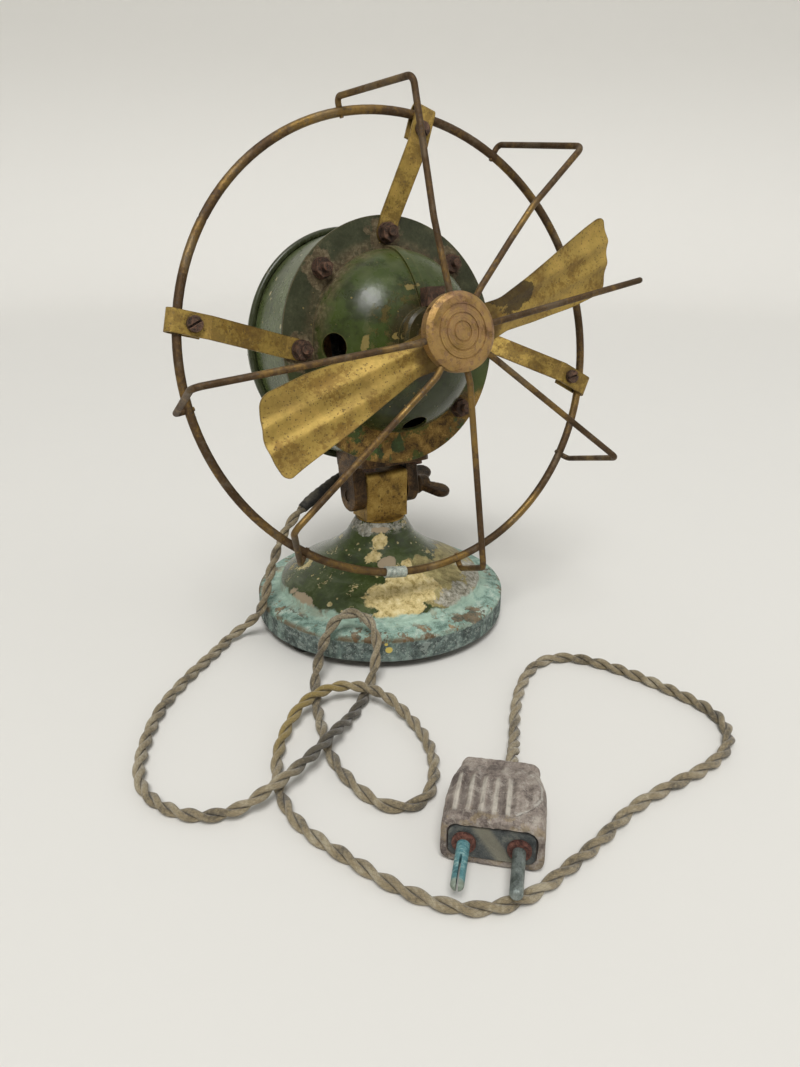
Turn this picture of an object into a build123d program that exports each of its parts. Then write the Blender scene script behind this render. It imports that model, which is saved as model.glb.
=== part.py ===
from build123d import *
import math
import os

# Antique electric desk fan: spun base, tilting clevis, green drum motor, two-blade brass
# propeller, wire guard, twisted cord and two-pin plug. Millimetres, +Z up, the fan faces -Y,
# and the origin is on the table under the middle of the base.

# ---------------------------------------------------------------- driving dimensions
# tilting head
PIVOT_HEIGHT = 72.0          # tilt axis above the table
AXIS_HEIGHT = 77.0           # motor axis above the tilt axis
HEAD_TILT = 9.45             # head leans back by this much as it stands
RUNNING = 0.05               # radial clearance of a running or threaded fit
SEAT = 0.05                  # gap between two seated faces

# base
BASE_RADIUS = 68.2
SKIRT_BOTTOM = 5.35          # rim of the shell above the table
SKIRT_TOP = 15.6
NECK_RADIUS = 13.5
# the cone between flange and neck: share of the base radius, height
SHOULDER = ((0.7331, 27.6), (0.5718, 33.4), (0.4106, 40.0), (0.2874, 47.0))
NECK_TOP = 57.6
SHELL_WALL = 1.2
PLATE_THICKNESS = 5.0
FOOT_HEIGHT = 7.0
FOOT_RADIUS = 6.75
FOOT_CIRCLE = 58.0
FOOT_ANGLES = (77.0, 197.0, 317.0)
STUD_RADIUS = 3.0
FERRULE_FLANGE = 0.8

# pivot
BLOCK_WIDTH = 25.0
BLOCK_DEPTH = 17.0
BLOCK_ABOVE_PIVOT = 12.5
EAR_THICKNESS = 7.0
EAR_GAP = 0.3
SADDLE_UNDER = 16.3          # underside of the saddle above the tilt axis
SADDLE_REACH = 24.0          # saddle's front end ahead of the tilt axis
WING_SCREW_RADIUS = 3.0
WING_ANGLE = 17.0            # wing below level, towards the front
WING_SPAN = 14.6
WING_WASHER_RADIUS = 6.5

# motor, along its axis from the point above the middle of the base (front positive)
DRUM_RADIUS = 57.0
DRUM_WALL = 1.3
FLANGE_RADIUS = 59.2
FLANGE_FRONT = 15.0
DOME_RADIUS = 44.0
DOME_DEPTH = 31.0
NOSE_RADIUS = 15.0
NOSE_FRONT = 51.0
BEAD_CENTRE = -25.8
BEAD_RADIUS = 1.75
REAR_FACE = -39.5
REAR_DOME_DEPTH = 9.0
REAR_NOSE_RADIUS = 12.5
REAR_NOSE_END = -51.5
VENT_RADIUS = 6.5
VENT_CIRCLE = 40.0
VENT_ANGLES = (0.0, 180.0, 270.0)
BOLT_CIRCLE = 50.7
BOLT_RADIUS = 2.0
BOLT_CLEARANCE = 0.2
BOLT_ANGLES = (-45.0, 0.0, 45.0, 90.0, 135.0, 180.0, 225.0)
ARM_STUDS = (0.0, 90.0, 180.0)
WASHER_THICKNESS = 0.8
NUT_FLATS = 8.0
NUT_HEIGHT = 3.4
SHAFT_RADIUS = 4.0
BEARING_RADIUS = 9.0
CORE_LENGTH = 28.0
CORE_FRONT = 9.0
CORE_INNER = 45.5
POLE_BORE = 27.5
AIR_GAP = 0.7
COMMUTATOR_RADIUS = 11.0
COMMUTATOR_FRONT = -25.5
COMMUTATOR_LENGTH = 9.5
BUSHING_OFFSET = -8.0        # cord bushing beside the middle, under the rear cover
BUSHING_STATION = -32.7
BUSHING_FACE = 60.5          # bushing's outer face below the motor axis

# propeller
PROPELLER_FACE = 69.0        # back of the propeller's middle disc
SHEET = 0.9
BLADE_ANGLE = 20.5           # first blade's middle line
BLADE_TIP = 99.0
BLADE_PITCH = 16.0
BLADE_SWEEP = 3.6            # tips lie this much behind the middle disc
RIB_HEIGHT = 1.0
HUB_FLANGE = 13.5
DISC_RADIUS = 14.0

# guard, bent a little out of line with the motor, as found
GUARD_RADIUS = 107.0
GUARD_WIRE = 2.0
GUARD_OFFSET = (-2.6, -4.2, 27.7)
GUARD_TURN = -3.5
GUARD_NOD = 2.8
SPOKE_RADIUS = 1.4
SPIGOT_RADIUS = 0.95
SPOKE_PLANE = 52.0           # outer corners of the spokes ahead of the ring
BOSS_PLANE = 57.0            # middle plane of the boss ahead of the ring
BOSS_CENTRE = (-4.0, 3.4)
BOSS_RADIUS = 16.4
BOSS_THICKNESS = 6.5
BOSS_HOLE_ANGLE = 9.0
SPOKE_DEPTH = 5.0            # how far a spoke goes into the boss
EMPTY_HOLE = 145.3           # ring hole whose spoke is lost
FERRULE_ANGLE = -99.4
FERRULE_LENGTH = 11.0
FERRULE_RADIUS = 2.8
STRAP_WIDTH = 10.0
STRAP_THICKNESS = 1.2
FOLD_ROOM = 1.7              # lets the fold lie at an angle across the ring

# each spoke: hole in the boss (counted in eighths), points on the way, outer corner, ring hole;
# points are a share of the ring's radius and an angle in its plane
SPOKES = (
    (2, ((0.467, 101.2),), (0.966, 96.3), 100.6),
    (1, ((0.450, 56.0), (0.631, 52.9)), (0.995, 47.8), 56.1),
    (0, (), (0.980, 11.5), 10.3),
    (-1, (), (0.946, -36.8), -34.8),
    (-2, (), (0.922, -89.4), -80.0),
    (-3, (), (1.007, -141.5), -125.5),
    (-4, (), (1.081, -175.9), -171.1),
)

# each guard arm: name, stud, angle where the strap crosses the ring, screw inside the ring
ARMS = (
    ("guard_arm_left", 180.0, 169.2, 6.6),
    ("guard_arm_top", 90.0, 78.3, 7.0),
    ("guard_arm_right", 0.0, -13.8, 8.4),
)

# cord and plug
CORD_DIAMETER = 5.2
PLUG_LENGTH = 43.0
PLUG_WIDTH = 37.0
PLUG_HEIGHT = 20.5
PLUG_FRONT = (-67.4, -190.6)
PLUG_HEADING = -132.6
PLUG_ENTRY_SHIFT = 4.0
PIN_SPACING = 19.0
PIN_RADIUS = 2.3
PIN_LENGTH = 19.5
PIN_DROOP = 5.0
FACE_WIDTH = 30.0
FACE_HEIGHT = 12.5
FACE_DEPTH = 1.4

# ---------------------------------------------------------------- frames
tilt = math.radians(HEAD_TILT)
forward = Vector(0, -math.cos(tilt), math.sin(tilt))
head_frame = Plane(origin=(0, 0, PIVOT_HEIGHT), x_dir=(1, 0, 0), z_dir=forward)
motor_frame = Plane(
    origin=(0, 0, PIVOT_HEIGHT + AXIS_HEIGHT / math.cos(tilt)), x_dir=(1, 0, 0), z_dir=forward
)
guard_frame = Plane(
    motor_frame.location
    * Location(GUARD_OFFSET)
    * Rotation(0, GUARD_TURN, 0)
    * Rotation(-GUARD_NOD, 0, 0)
)
pivot_frame = Plane(origin=(0, 0, PIVOT_HEIGHT), x_dir=(0, -1, 0), z_dir=(1, 0, 0))
plug_heading = math.radians(PLUG_HEADING)
plug_frame = Plane(
    origin=(PLUG_FRONT[0], PLUG_FRONT[1], PLUG_HEIGHT / 2),
    x_dir=(-math.sin(plug_heading), math.cos(plug_heading), 0),
    z_dir=(math.cos(plug_heading), math.sin(plug_heading), 0),
)

os.makedirs("parts", exist_ok=True)


# ---------------------------------------------------------------- helpers
def save(name, *solids):
    shape = solids[0] if len(solids) == 1 else Compound(children=list(solids))
    export_step(shape, f"parts/{name}.step")


def placed(frame, shape):
    return frame.location * shape


def polar(radius, angle, height=0.0):
    turn = math.radians(angle)
    return Vector(radius * math.cos(turn), radius * math.sin(turn), height)


def rod(radius, start, end):
    return Pos(0, 0, (start + end) / 2) * Cylinder(radius, end - start)


def tube(outer, inner, start, end):
    return rod(outer, start, end) - rod(inner, start - 1, end + 1)


def turned(*points):
    """A solid turned about Z from an outline of (radius, height) points."""
    outline = make_face(Polyline(*points, close=True))
    return revolve(Plane.XZ * outline, Axis.Z)


def block(x0, x1, y0, y1, z0, z1):
    centre = Pos((x0 + x1) / 2, (y0 + y1) / 2, (z0 + z1) / 2)
    return centre * Box(x1 - x0, y1 - y0, z1 - z0)


def hexagon(flats, start, end):
    return Pos(0, 0, start) * extrude(RegularPolygon(flats / 2, 6, major_radius=False), end - start)


def at_angle(radius, angle, shape):
    """Turn a shape about Z and move it out to a radius."""
    return Rotation(0, 0, angle) * Pos(radius, 0, 0) * shape


def wire_along(points, radii, wire_radius):
    path = FilletPolyline(*points, radius=radii)
    start = Plane(origin=path @ 0, z_dir=path % 0)
    return sweep(start * Circle(wire_radius), path=path)


def slotted_screw(head_radius, head_height, shank_radius, length):
    """Cheese head from 0 up, shank from 0 down, slot across the head."""
    screw = rod(head_radius, 0, head_height) + rod(shank_radius, -length, 0)
    slot = block(-head_radius, head_radius, -0.5, 0.5, head_height * 0.55, head_height + 1)
    return screw - slot


# ---------------------------------------------------------------- base
PLATE_TOP = FOOT_HEIGHT + PLATE_THICKNESS
PLATE_RIM = SKIRT_TOP + 1.4
BLOCK_BOTTOM = NECK_TOP + FERRULE_FLANGE
STUD_TOP = PIVOT_HEIGHT - WING_SCREW_RADIUS - 3.0


def base_shell():
    neck_over = 1.5
    shoulder = [(BASE_RADIUS * share, height) for share, height in SHOULDER]
    last_radius, last_height = shoulder[-1]
    slope = (NECK_RADIUS - last_radius) / (NECK_TOP - last_height)
    outline = FilletPolyline(
        (BASE_RADIUS, SKIRT_BOTTOM),
        (BASE_RADIUS, SKIRT_TOP + 1.4),
        (BASE_RADIUS - 2.4, SKIRT_TOP + 3.0),
        (BASE_RADIUS - 11.7, SKIRT_TOP + 4.5),
        (BASE_RADIUS - 13.2, SKIRT_TOP + 8.6),
        *shoulder,
        (NECK_RADIUS + slope * neck_over, NECK_TOP + neck_over),
        radius=[1.3, 1.3, 1.3, 2.4, 12.0, 20.0, 20.0, 12.0],
    )
    section = make_face(outline.wire().offset_2d(SHELL_WALL, side=Side.LEFT, closed=True))
    shell = revolve(Plane.XZ * section, Axis.Z)
    return shell - rod(2 * NECK_RADIUS, NECK_TOP, NECK_TOP + 10)


def base_plate():
    inner = BASE_RADIUS - SHELL_WALL
    plate = turned(
        (STUD_RADIUS + RUNNING, FOOT_HEIGHT),
        (inner - SEAT, FOOT_HEIGHT),
        (inner - SEAT, PLATE_TOP),
        (inner - 2.6, PLATE_RIM),
        (inner - 6.0, PLATE_RIM),
        (inner - 9.0, PLATE_TOP),
        (STUD_RADIUS + RUNNING, PLATE_TOP),
    )
    for angle in FOOT_ANGLES:
        plate -= at_angle(FOOT_CIRCLE, angle, rod(1.5 + RUNNING, 0, FOOT_HEIGHT + 4.0))
    return plate


def rubber_foot():
    foot = turned(
        (1.5 + RUNNING, 2.6), (3.4, 2.6), (3.4, 0), (FOOT_RADIUS - 0.8, 0),
        (FOOT_RADIUS, 0.8), (FOOT_RADIUS, FOOT_HEIGHT - SEAT / 2),
        (1.5 + RUNNING, FOOT_HEIGHT - SEAT / 2),
    )
    return foot


def foot_screw():
    return Pos(0, 0, 2.55) * Rotation(180, 0, 0) * slotted_screw(3.0, 1.9, 1.5, FOOT_HEIGHT + 1.2)


def neck_ferrule():
    bore = STUD_RADIUS + RUNNING
    spigot = NECK_RADIUS - SHELL_WALL / 0.87 - 0.15
    return turned(
        (bore, NECK_TOP - 5.0), (spigot, NECK_TOP - 5.0), (spigot, NECK_TOP + SEAT),
        (NECK_RADIUS - 0.4, NECK_TOP + SEAT), (NECK_RADIUS - 0.4, BLOCK_BOTTOM - SEAT),
        (bore, BLOCK_BOTTOM - SEAT),
    )


def pivot_block():
    top = PIVOT_HEIGHT + BLOCK_ABOVE_PIVOT
    half = BLOCK_WIDTH / 2
    body = block(-half, half, -BLOCK_DEPTH / 2, BLOCK_DEPTH / 2, BLOCK_BOTTOM, top)
    body = fillet(body.edges().filter_by(Axis.X).group_by(Axis.Z)[-1], 2.5)
    body = chamfer(body.edges().filter_by(Axis.Z), 0.7)
    body -= rod(STUD_RADIUS + RUNNING, BLOCK_BOTTOM - 1, STUD_TOP + 0.6)
    cross_hole = placed(pivot_frame, rod(WING_SCREW_RADIUS + RUNNING, -half - 1, half + 1))
    return body - cross_hole


foot_places = [polar(FOOT_CIRCLE, angle) for angle in FOOT_ANGLES]
save("base_shell", base_shell())
save("base_plate", base_plate())
save("rubber_feet", *[Pos(p) * rubber_foot() for p in foot_places])
save("foot_screws", *[Pos(p) * foot_screw() for p in foot_places])
save("pillar_stud", rod(STUD_RADIUS, FOOT_HEIGHT - 4.2, STUD_TOP))
save("pillar_nut", hexagon(10.0, FOOT_HEIGHT - 3.6, FOOT_HEIGHT - SEAT) - rod(STUD_RADIUS + RUNNING, 0, 9))
save("neck_ferrule", neck_ferrule())
save("pivot_block", pivot_block())

# ---------------------------------------------------------------- clevis and wing screw
EAR_INNER = BLOCK_WIDTH / 2 + EAR_GAP
EAR_OUTER = EAR_INNER + EAR_THICKNESS
EAR_RADIUS = BLOCK_DEPTH / 2
SADDLE_SCREW = (14.0, 16.0)   # each side of the middle, and ahead of the tilt axis
SADDLE_BOLT_RADIUS = 2.0
DRUM_BORE = DRUM_RADIUS + SEAT


def saddle_screw_hole(clearance):
    side, ahead = SADDLE_SCREW
    post = Rotation(-90, 0, 0) * Cylinder(SADDLE_BOLT_RADIUS + clearance, 80)
    return Pos(-side, 30, ahead) * post + Pos(side, 30, ahead) * post


def saddle_bracket():
    saddle = block(-EAR_OUTER, EAR_OUTER, SADDLE_UNDER, SADDLE_UNDER + 9, -EAR_RADIUS, SADDLE_REACH)
    saddle = fillet(saddle.edges().filter_by(Axis.Y).group_by(Axis.Z)[-1], 6.0)
    sides = Polyline(
        (-EAR_RADIUS, 0), (-EAR_RADIUS, SADDLE_UNDER + 1), (EAR_RADIUS, SADDLE_UNDER + 1), (EAR_RADIUS, 0)
    )
    ear_outline = make_face([sides, RadiusArc((EAR_RADIUS, 0), (-EAR_RADIUS, 0), EAR_RADIUS)])
    for side in (-1, 1):
        middle = side * (EAR_INNER + EAR_THICKNESS / 2)
        ear = extrude(ear_outline, EAR_THICKNESS / 2, both=True)
        ear = chamfer(ear.faces().sort_by(Axis.Z)[-1].edges(), 0.6)
        saddle += Pos(middle, 0, 0) * Rotation(0, 90 * side, 0) * ear
    saddle -= Pos(0, AXIS_HEIGHT, 0) * Cylinder(DRUM_BORE, 200)
    saddle -= Rotation(0, 90, 0) * Cylinder(WING_SCREW_RADIUS + RUNNING, 3 * BLOCK_WIDTH)
    return saddle - saddle_screw_hole(0.1)


def saddle_screws():
    side, ahead = SADDLE_SCREW
    screw = Rotation(90, 0, 0) * slotted_screw(3.5, 2.4, SADDLE_BOLT_RADIUS, 16.0)
    under = SADDLE_UNDER - SEAT
    return [Pos(s * side, under, ahead) * screw for s in (-1, 1)]


def wing_screw():
    hub_start = EAR_OUTER + 1.1
    body = rod(WING_SCREW_RADIUS, 0.4 - EAR_OUTER, hub_start + 2)
    body += Pos(0, 0, hub_start) * turned(
        (0, 0), (5.4, 0), (5.4, 2.2), (4.4, 4.0), (3.6, 8.6), (2.4, 9.6), (0, 9.6)
    )
    lobe = 4.8
    centre = WING_SPAN - lobe
    outline = make_hull(
        (Pos(2.5, hub_start + 5.0) * Circle(3.0)).edges()
        + (Pos(centre, hub_start + 12.0) * Circle(lobe)).edges()
    )
    wing = extrude(Plane.XZ * outline, 1.2, both=True)
    return body + Rotation(0, 0, WING_ANGLE) * wing + Rotation(0, 0, WING_ANGLE + 180) * wing


save("saddle_bracket", placed(head_frame, saddle_bracket()))
save("saddle_screws", *[placed(head_frame, screw) for screw in saddle_screws()])
washer = tube(WING_WASHER_RADIUS, WING_SCREW_RADIUS + 0.1, EAR_OUTER + SEAT, EAR_OUTER + 1.05)
save("wing_washer", placed(pivot_frame, washer))
save("wing_screw", placed(pivot_frame, wing_screw()))

# ---------------------------------------------------------------- motor casing
FLANGE_BACK = FLANGE_FRONT - DRUM_WALL
DRUM_REAR = BEAD_CENTRE - 0.4
DRUM_INNER = DRUM_RADIUS - DRUM_WALL
REAR_INSIDE = REAR_FACE + DRUM_WALL


def in_motor(head_shape):
    """Bring a shape from the head frame into the motor frame."""
    return motor_frame.location.inverse() * head_frame.location * head_shape


def bolt_holes(radius, start, end):
    hole = rod(radius, start, end)
    holes = at_angle(BOLT_CIRCLE, BOLT_ANGLES[0], hole)
    for angle in BOLT_ANGLES[1:]:
        holes += at_angle(BOLT_CIRCLE, angle, hole)
    return holes


def half_ellipse(radius, depth, level, stop_radius):
    """Outline of a dome from its rim at level in to stop_radius, as one curve."""
    stop = math.degrees(math.acos(stop_radius / radius))
    return EllipticalCenterArc((0, level), radius, depth, start_angle=0, arc_size=stop)


def front_shell():
    dome = half_ellipse(DOME_RADIUS, DOME_DEPTH, FLANGE_FRONT, NOSE_RADIUS)
    outside = Polyline(
        dome @ 1, (NOSE_RADIUS, NOSE_FRONT - 1.2), (NOSE_RADIUS - 1.2, NOSE_FRONT), (0, NOSE_FRONT),
        (0, FLANGE_BACK), (FLANGE_RADIUS, FLANGE_BACK), (FLANGE_RADIUS, FLANGE_FRONT),
        (DOME_RADIUS, FLANGE_FRONT),
    )
    shell = revolve(Plane.XZ * make_face([dome, outside]), Axis.Z)
    ridge_dome = half_ellipse(DOME_RADIUS + 1.2, DOME_DEPTH + 1.2, FLANGE_FRONT, NOSE_RADIUS)
    ridge_rest = Polyline(
        ridge_dome @ 1, (0, (ridge_dome @ 1).Y), (0, FLANGE_FRONT), (DOME_RADIUS + 1.2, FLANGE_FRONT)
    )
    ridge = revolve(Plane.XZ * make_face([ridge_dome, ridge_rest]), Axis.Z)
    shell += ridge & block(-2.2, 2.2, NOSE_RADIUS - 3, DOME_RADIUS + 2, FLANGE_FRONT, NOSE_FRONT)
    inner_dome = half_ellipse(DOME_RADIUS - DRUM_WALL, DOME_DEPTH - DRUM_WALL, FLANGE_FRONT, 0.0)
    inner_rest = Polyline(
        inner_dome @ 1, (0, FLANGE_BACK - 1), (DOME_RADIUS - DRUM_WALL, FLANGE_BACK - 1),
        (DOME_RADIUS - DRUM_WALL, FLANGE_FRONT),
    )
    hollow = revolve(Plane.XZ * make_face([inner_dome, inner_rest]), Axis.Z)
    hollow -= rod(NOSE_RADIUS - 2.5, NOSE_FRONT - 13.0, NOSE_FRONT)
    shell -= hollow
    shell -= rod(BEARING_RADIUS + SEAT / 2, 0, NOSE_FRONT + 1)
    rise = math.sqrt(1 - (VENT_CIRCLE / DOME_RADIUS) ** 2)
    lean = math.degrees(math.atan2(VENT_CIRCLE / DOME_RADIUS**2, rise / DOME_DEPTH))
    vent = Pos(0, 0, FLANGE_FRONT + DOME_DEPTH * rise) * Rotation(0, lean, 0) * Cylinder(VENT_RADIUS, 14)
    for angle in VENT_ANGLES:
        shell -= at_angle(VENT_CIRCLE, angle, vent)
    return shell - bolt_holes(BOLT_RADIUS + BOLT_CLEARANCE, FLANGE_BACK - 1, FLANGE_FRONT + 1)


def rear_cover():
    def pan(radius, corner, face, dome_radius, dome_depth):
        flat = Polyline(
            (0, BEAD_CENTRE), (radius, BEAD_CENTRE), (radius, face + corner),
        )
        round_corner = RadiusArc((radius, face + corner), (radius - corner, face), corner)
        dome = EllipticalCenterArc((0, face), dome_radius, dome_depth, start_angle=270, arc_size=90)
        shelf = Polyline((radius - corner, face), (dome_radius, face))
        closing = Polyline((0, face - dome_depth), (0, BEAD_CENTRE))
        outline = make_face([flat, round_corner, shelf, dome, closing])
        return revolve(Plane.XZ * outline, Axis.Z)

    cover = pan(DRUM_RADIUS, 4.5, REAR_FACE, DOME_RADIUS, REAR_DOME_DEPTH)
    cover += rod(REAR_NOSE_RADIUS, REAR_NOSE_END, REAR_FACE)
    bead = revolve(Plane.XZ * Pos(DRUM_RADIUS + 1.55, BEAD_CENTRE) * Circle(BEAD_RADIUS), Axis.Z)
    cover += bead
    cover -= rod(DRUM_BORE, DRUM_REAR - SEAT, BEAD_CENTRE + 5)
    hollow = pan(DRUM_INNER, 3.2, REAR_INSIDE, DOME_RADIUS - DRUM_WALL, REAR_DOME_DEPTH)
    cover -= hollow - rod(REAR_NOSE_RADIUS, REAR_NOSE_END, REAR_FACE - 0.6)
    cover -= rod(BEARING_RADIUS + SEAT / 2, REAR_NOSE_END + 1.2, 0)
    cover -= bolt_holes(BOLT_RADIUS + BOLT_CLEARANCE, REAR_FACE - 1, REAR_INSIDE + 1)
    return cover - Pos(BUSHING_OFFSET, -DRUM_RADIUS, BUSHING_STATION) * Rotation(90, 0, 0) * Cylinder(4.0, 20)


def motor_drum():
    drum = tube(DRUM_RADIUS, DRUM_INNER, DRUM_REAR, FLANGE_BACK - SEAT)
    return drum - in_motor(saddle_screw_hole(0.1))


def cord_bushing():
    lengthwise = Rotation(90, 0, 0)
    collar = Pos(0, -(BUSHING_FACE + DRUM_RADIUS - 2) / 2, 0) * lengthwise
    collar = collar * Cylinder(4.8, BUSHING_FACE - DRUM_RADIUS + 2)
    collar = Pos(BUSHING_OFFSET, 0, BUSHING_STATION) * collar
    collar -= rod(DRUM_RADIUS + SEAT, BUSHING_STATION - 10, BUSHING_STATION + 10)
    neck = Pos(BUSHING_OFFSET, -DRUM_RADIUS, BUSHING_STATION) * lengthwise * Cylinder(3.9, 6.4)
    bore = Pos(BUSHING_OFFSET, -DRUM_RADIUS, BUSHING_STATION) * lengthwise * Cylinder(2.0, 12)
    return collar + neck - bore


def through_bolt():
    head = hexagon(7.0, REAR_FACE - 3.0, REAR_FACE - SEAT)
    return head + rod(BOLT_RADIUS, REAR_FACE - 1, FLANGE_FRONT + 7.6)


def clamp_level(angle):
    """Height on the flange where the washer lies: on the strap where a guard arm is held."""
    return FLANGE_FRONT + SEAT + (STRAP_THICKNESS if angle in ARM_STUDS else 0)


def stud_washer(angle):
    level = clamp_level(angle)
    return at_angle(BOLT_CIRCLE, angle, tube(4.9, BOLT_RADIUS + 0.1, level, level + WASHER_THICKNESS))


def stud_nut(angle):
    level = clamp_level(angle) + WASHER_THICKNESS
    nut = hexagon(NUT_FLATS, level, level + NUT_HEIGHT) - rod(BOLT_RADIUS + RUNNING, 0, 99)
    return at_angle(BOLT_CIRCLE, angle, nut)


def oil_cup():
    cup = block(-3.1, 6.4, NOSE_RADIUS - 1, NOSE_RADIUS + 7.8, NOSE_FRONT - 5.2, NOSE_FRONT + 2.2)
    cup = chamfer(cup.edges().filter_by(Axis.Y), 0.6)
    return cup - rod(NOSE_RADIUS + SEAT, 0, 99)


save("motor_drum", placed(motor_frame, motor_drum()))
save("front_shell", placed(motor_frame, front_shell()))
save("rear_cover", placed(motor_frame, rear_cover()))
save("cord_bushing", placed(motor_frame, cord_bushing()))
save("through_bolts", *[placed(motor_frame, at_angle(BOLT_CIRCLE, a, through_bolt())) for a in BOLT_ANGLES])
save("stud_washers", *[placed(motor_frame, stud_washer(angle)) for angle in BOLT_ANGLES])
save("stud_nuts", *[placed(motor_frame, stud_nut(angle)) for angle in BOLT_ANGLES])
save("oil_cup", placed(motor_frame, oil_cup()))

# ---------------------------------------------------------------- motor works
CORE_REAR = CORE_FRONT - CORE_LENGTH
COMMUTATOR_REAR = COMMUTATOR_FRONT - COMMUTATOR_LENGTH
FRONT_BEARING_REAR = NOSE_FRONT - 15.0
REAR_BEARING_FRONT = COMMUTATOR_REAR - 2.6
ARMATURE_RADIUS = POLE_BORE - AIR_GAP
POLE_WIDTH = 20.0
SHOE_OUTER = 33.5
YOKE_BACK = REAR_INSIDE + SEAT
YOKE_THICKNESS = 3.0
HOLDER_SIZE = 8.0
BRUSH_DEPTH = 5.0
BRUSH_HEIGHT = 6.0


def field_core():
    outer = DRUM_INNER - 0.3
    core = tube(outer, CORE_INNER, CORE_REAR, CORE_FRONT)
    wedge = Polyline((0, 0), (34, 42), (60, 0), (34, -42), close=True)
    shoe = tube(SHOE_OUTER, POLE_BORE, CORE_REAR, CORE_FRONT)
    shoe = shoe & Pos(0, 0, CORE_REAR) * extrude(make_face(wedge), CORE_LENGTH)
    pole = block(SHOE_OUTER - 2, CORE_INNER + 2, -POLE_WIDTH / 2, POLE_WIDTH / 2, CORE_REAR, CORE_FRONT)
    for turn in (0, 180):
        core += Rotation(0, 0, turn) * (shoe + pole)
    core -= bolt_holes(BOLT_RADIUS + BOLT_CLEARANCE, CORE_REAR - 1, CORE_FRONT + 1)
    return core - in_motor(saddle_screw_hole(0.05))


def field_coil():
    over = 0.4
    wrap = 4.5
    inner = block(
        0, 99, -POLE_WIDTH / 2 - over, POLE_WIDTH / 2 + over, CORE_REAR - over, CORE_FRONT + over
    )
    outer = block(
        SHOE_OUTER + over, 40.6, -POLE_WIDTH / 2 - wrap, POLE_WIDTH / 2 + wrap,
        CORE_REAR - wrap, CORE_FRONT + wrap,
    )
    outer = fillet(outer.edges().filter_by(Axis.X), 4.0)
    return outer - inner


def armature_core():
    front = CORE_FRONT - 1
    rear = CORE_REAR + 1
    core = tube(ARMATURE_RADIUS, SHAFT_RADIUS, rear, front)
    slot = at_angle(ARMATURE_RADIUS - 5, 0, block(-4.5, 6, -1.6, 1.6, rear - 1, front + 1))
    for index in range(12):
        core -= Rotation(0, 0, 30 * index) * slot
    return core


def armature_windings():
    front = CORE_FRONT - 1
    rear = CORE_REAR + 1
    gap = 0.1
    ends = turned(
        (9, front + gap), (ARMATURE_RADIUS - 2.5, front + gap), (ARMATURE_RADIUS - 2.5, front + 4),
        (ARMATURE_RADIUS - 6, front + 7), (9, front + 6),
    )
    ends += turned(
        (9, rear - gap), (ARMATURE_RADIUS - 2.5, rear - gap), (ARMATURE_RADIUS - 2.5, rear - 4),
        (ARMATURE_RADIUS - 8, rear - 6.5), (9, rear - 6.5),
    )
    bar = at_angle(ARMATURE_RADIUS - 5, 0, block(-4.3, 2.4, -1.5, 1.5, rear - 1, front + 1))
    for index in range(12):
        ends += Rotation(0, 0, 30 * index) * bar
    return ends


def commutator():
    body = tube(COMMUTATOR_RADIUS, SHAFT_RADIUS, COMMUTATOR_REAR, COMMUTATOR_FRONT)
    for index in range(12):
        groove = at_angle(COMMUTATOR_RADIUS, 30 * index, Box(1.2, 0.6, 2 * COMMUTATOR_LENGTH + 1))
        body -= Pos(0, 0, COMMUTATOR_REAR) * groove
    return body


def brush_yoke():
    ring = tube(BOLT_CIRCLE - BOLT_RADIUS - 0.4, 28.0, YOKE_BACK, YOKE_BACK + YOKE_THICKNESS)
    return ring


def brush_holder():
    front = YOKE_BACK + YOKE_THICKNESS + SEAT
    middle = front + HOLDER_SIZE / 2
    holder = block(14.0, 36.0, -HOLDER_SIZE / 2 - 0.5, HOLDER_SIZE / 2 + 0.5, front, front + HOLDER_SIZE)
    channel = block(
        0, 34.5, -BRUSH_HEIGHT / 2 - 0.1, BRUSH_HEIGHT / 2 + 0.1,
        middle - BRUSH_DEPTH / 2 - 0.1, middle + BRUSH_DEPTH / 2 + 0.1,
    )
    return holder - channel


def brush():
    middle = YOKE_BACK + YOKE_THICKNESS + SEAT + HOLDER_SIZE / 2
    body = block(
        8.0, 24.0, -BRUSH_HEIGHT / 2, BRUSH_HEIGHT / 2, middle - BRUSH_DEPTH / 2, middle + BRUSH_DEPTH / 2
    )
    return body - rod(COMMUTATOR_RADIUS + 0.1, middle - 9, middle + 9)


def brush_spring():
    middle = YOKE_BACK + YOKE_THICKNESS + SEAT + HOLDER_SIZE / 2
    return Pos(29.25, 0, middle) * Rotation(0, 90, 0) * tube(2.2, 1.4, -5.15, 5.15)


def both_sides(shape):
    return [placed(motor_frame, Rotation(0, 0, turn) * shape) for turn in (90, 270)]


def terminal_block():
    body = block(2.0, 20.0, -51.0, -44.0, REAR_INSIDE + 5.5, REAR_INSIDE + 13.0)
    for place in (6.5, 15.5):
        body -= Pos(place, -44, REAR_INSIDE + 9.2) * Rotation(90, 0, 0) * Cylinder(1.6, 6)
    return body


bearing_bore = SHAFT_RADIUS + RUNNING
front_bearing = tube(BEARING_RADIUS, bearing_bore, FRONT_BEARING_REAR, NOSE_FRONT + 0.8)
rear_bearing = tube(BEARING_RADIUS, bearing_bore, REAR_NOSE_END + 1.25, REAR_BEARING_FRONT)
save("front_bearing", placed(motor_frame, front_bearing))
save("rear_bearing", placed(motor_frame, rear_bearing))
save("field_core", placed(motor_frame, field_core()))
save("field_coils", *[placed(motor_frame, Rotation(0, 0, turn) * field_coil()) for turn in (0, 180)])
save("brush_yoke", placed(motor_frame, brush_yoke()))
save("brush_holders", *both_sides(brush_holder()))
save("brushes", *both_sides(brush()))
save("brush_springs", *both_sides(brush_spring()))
save("terminal_block", placed(motor_frame, terminal_block()))
save("armature_core", placed(motor_frame, armature_core()))
save("armature_windings", placed(motor_frame, armature_windings()))
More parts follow.
